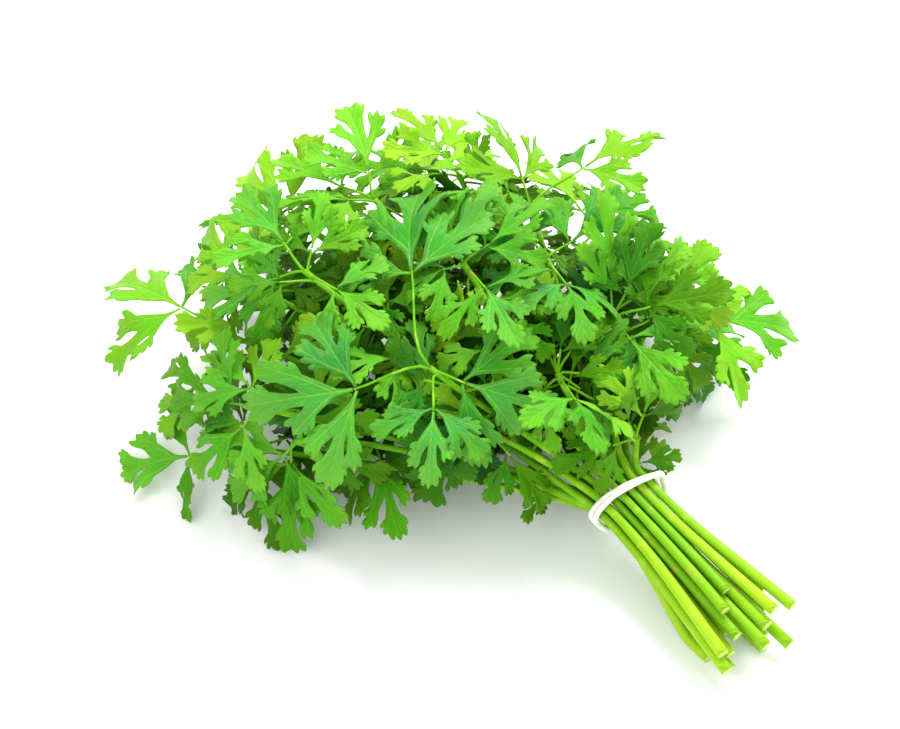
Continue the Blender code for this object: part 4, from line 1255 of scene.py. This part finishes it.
# ---------------------------------------------------------------- operators
class PARSLEY_OT_leaves(bpy.types.Operator):
    """Model each sprig's leaflets, thin veined blades with their ribs standing out underneath"""
    bl_idname = "parsley.leaves"
    bl_label = "Leaflets"

    def execute(self, context):
        looks = context.scene.parsley_leaves
        leaf_material("parsley_leaf_upper", looks, under=False)
        leaf_material("parsley_leaf_lower", looks, under=True)
        draw = random.Random(EXTRA_SEED)
        fine = leaf_kinds("leaflet", LEAF_KINDS, LEAF_GRID, draw)
        plain = leaf_kinds("plain_leaflet", SHADE_KINDS, SHADE_GRID, draw)
        groups = [group for _, group in plan] + list(neck_sprays.values()) + list(shaded)
        # The leaflets' middles, used to paint shade on those that others hang over.
        middles = np.array([middle_of(leaf) for group in groups for _, _, leaves in group
                            for _, leaf in leaves])
        for sprig, (_, sprays) in enumerate(plan):
            number = sprig + 1
            work = bmesh.new()
            work.verts.layers.float.new("tone")
            work.verts.layers.float.new("light")
            for group, kinds, painted_light_range in ((sprays, fine, LEAF_PAINTED_LIGHT),
                                         (neck_sprays.get(sprig, []), fine, NECK_PAINTED_LIGHT),
                                         (shaded[sprig], plain, SHADE_PAINTED_LIGHT)):
                for side, leaf in [item for _, _, leaves in group for item in leaves]:
                    tone = min(1.0, max(0.0, TONES[sprig] + draw.uniform(-TONE_SPREAD, TONE_SPREAD)))
                    light = painted_light_level(middles, leaf, *painted_light_range, draw)
                    set_leaf(work, draw.choice(kinds[side]), leaf, tone, light)
            piece = finished(f"leaflets_{number:02d}", work, ("parsley_leaf_upper", "parsley_leaf_lower"),
                             f"sprig_{number:02d}")
            piece.vertex_groups.new(name="rib")
            blade_wall = piece.modifiers.new("blade", "SOLIDIFY")
            blade_wall.thickness = looks.thickness
            blade_wall.offset = -1.0
            blade_wall.vertex_group = "rib"
            blade_wall.thickness_vertex_group = 0.5
            blade_wall.material_offset = 1
        return {"FINISHED"}


class PARSLEY_OT_stalks(bpy.types.Operator):
    """Model each sprig's ribbed stalk, from its cut end to its fork, and its branches"""
    bl_idname = "parsley.stalks"
    bl_label = "Stalks"

    def execute(self, context):
        looks = context.scene.parsley_stalks
        stalk_material("parsley_stalk", looks)
        cut_material("parsley_cut", looks)
        draw = random.Random(EXTRA_SEED)
        for sprig, (stalk, sprays) in enumerate(plan):
            number = sprig + 1
            work = bmesh.new()
            work.loops.layers.uv.new("run")
            points, radii, marks = stalk_route(stalk)
            faces = grow_tube(work, points, radii, marks, STALK_SIDES, RIDGE)
            faces[0].material_index = 1
            for pulls, _, _ in (*sprays, *neck_sprays.get(sprig, []), *shaded[sprig]):
                route = sweep(*pulls, BRANCH_RINGS)
                thin = np.linspace(*BRANCH_RADII, BRANCH_RINGS)
                route, thin, along = evenly(route, thin, BRANCH_RINGS)
                grow_tube(work, route, thin, along + marks[-1], BRANCH_SIDES)
            tones = work.verts.layers.float.new("tone")
            tone = draw.uniform(0.0, DEEP_MOST)
            for vert in work.verts:
                vert[tones] = tone
                vert.co.z = max(vert.co.z, 0.0)
            finished(f"stalk_{number:02d}", work, ("parsley_stalk", "parsley_cut"),
                     f"sprig_{number:02d}")
        return {"FINISHED"}


class PARSLEY_OT_band(bpy.types.Operator):
    """Model the rubber band that goes twice round the stalks"""
    bl_idname = "parsley.band"
    bl_label = "Rubber band"

    def execute(self, context):
        looks = context.scene.parsley_band
        rubber_material("natural_rubber_band", looks)
        points = band_line()
        marks = lengths_along(np.vstack((points, points[:1])))
        work = bmesh.new()
        work.loops.layers.uv.new("run")
        radii = np.full(len(points), looks.strand / MM / 2)
        grow_tube(work, points, radii, marks, BAND_SIDES, closed=True)
        finished("rubber_band_strands", work, ("natural_rubber_band",), "rubber_band")
        return {"FINISHED"}


class PARSLEY_OT_stage(bpy.types.Operator):
    """Lay white paper under the bunch, light it softly and aim the camera"""
    bl_idname = "parsley.stage"
    bl_label = "Stage"

    def execute(self, context):
        looks = context.scene.parsley_stage
        scene = context.scene
        floor_material("white_paper", looks)
        work = bmesh.new()
        bmesh.ops.create_grid(work, x_segments=1, y_segments=1, size=FLOOR_HALF,
                              matrix=Matrix.Translation((0.0, 0.0, -FLOOR_DROP)))
        mesh = bpy.data.meshes.new("paper_floor")
        work.to_mesh(mesh)
        work.free()
        mesh.materials.append(bpy.data.materials["white_paper"])
        floor = bpy.data.objects.new("paper_floor", mesh)
        scene.collection.objects.link(floor)
        world = bpy.data.worlds.new("studio")
        world.use_nodes = True
        world.node_tree.nodes["Background"].inputs["Color"].default_value = (1.0, 1.0, 1.0, 1.0)
        world.node_tree.nodes["Background"].inputs["Strength"].default_value = WORLD_LIGHT
        scene.world = world
        for name, place, size, power in LAMPS:
            lamp = bpy.data.lights.new(name, "AREA")
            lamp.shape = "DISK"
            lamp.size = size
            lamp.energy = power
            holder = bpy.data.objects.new(name, lamp)
            holder.location = place
            holder.rotation_euler = (-Vector(place)).to_track_quat("-Z", "Y").to_euler()
            scene.collection.objects.link(holder)
        scene.view_settings.view_transform = "Standard"
        aim_camera(scene, looks)
        return {"FINISHED"}


def aim_camera(scene, looks):
    """Sets the camera so that the neck of the bunch lies low and right of the picture's middle."""
    view = bpy.data.cameras.new("camera")
    view.lens = looks.lens
    camera = bpy.data.objects.new("camera", view)
    scene.collection.objects.link(camera)
    level = math.cos(looks.elevation)
    back = Vector((math.sin(looks.azimuth) * level, -math.cos(looks.azimuth) * level,
                   math.sin(looks.elevation)))
    right = Vector((math.cos(looks.azimuth), math.sin(looks.azimuth), 0.0))
    up = back.cross(right)
    spread = looks.distance * view.sensor_width / looks.lens
    neck = Vector((0.0, 0.0, NECK_HEIGHT)) * MM - shift
    camera.matrix_world = Matrix.Translation(
        neck + back * looks.distance - right * spread * NECK_RIGHT + up * spread * NECK_DOWN
    ) @ Matrix((right, up, back)).transposed().to_4x4()
    scene.camera = camera


class PARSLEY_PT_panel(bpy.types.Panel):
    """Lists what makes up the bunch"""
    bl_idname = "PARSLEY_PT_panel"
    bl_label = "Parsley bunch"
    bl_space_type = "VIEW_3D"
    bl_region_type = "UI"
    bl_category = "Parsley"

    def draw(self, context):
        for operator, settings in PIECES:
            box = self.layout.box()
            box.operator(operator)
            group = getattr(context.scene, settings)
            for name in group.bl_rna.properties.keys():
                if name not in ("rna_type", "name"):
                    box.prop(group, name)


PIECES = (("parsley.leaves", "parsley_leaves"), ("parsley.stalks", "parsley_stalks"),
          ("parsley.band", "parsley_band"), ("parsley.stage", "parsley_stage"))
GROUPS = (LeafLooks, StalkLooks, BandLooks, StageLooks)
CLASSES = (*GROUPS, PARSLEY_OT_leaves, PARSLEY_OT_stalks, PARSLEY_OT_band, PARSLEY_OT_stage,
           PARSLEY_PT_panel)


def register():
    for item in CLASSES:
        bpy.utils.register_class(item)
    for (_, settings), group in zip(PIECES, GROUPS):
        setattr(bpy.types.Scene, settings, bpy.props.PointerProperty(type=group))


def unregister():
    for _, settings in PIECES:
        delattr(bpy.types.Scene, settings)
    for item in reversed(CLASSES):
        bpy.utils.unregister_class(item)


def main():
    register()
    bpy.ops.parsley.leaves()
    bpy.ops.parsley.stalks()
    bpy.ops.parsley.band()
    bpy.ops.parsley.stage()


if __name__ == "__main__":
    main()
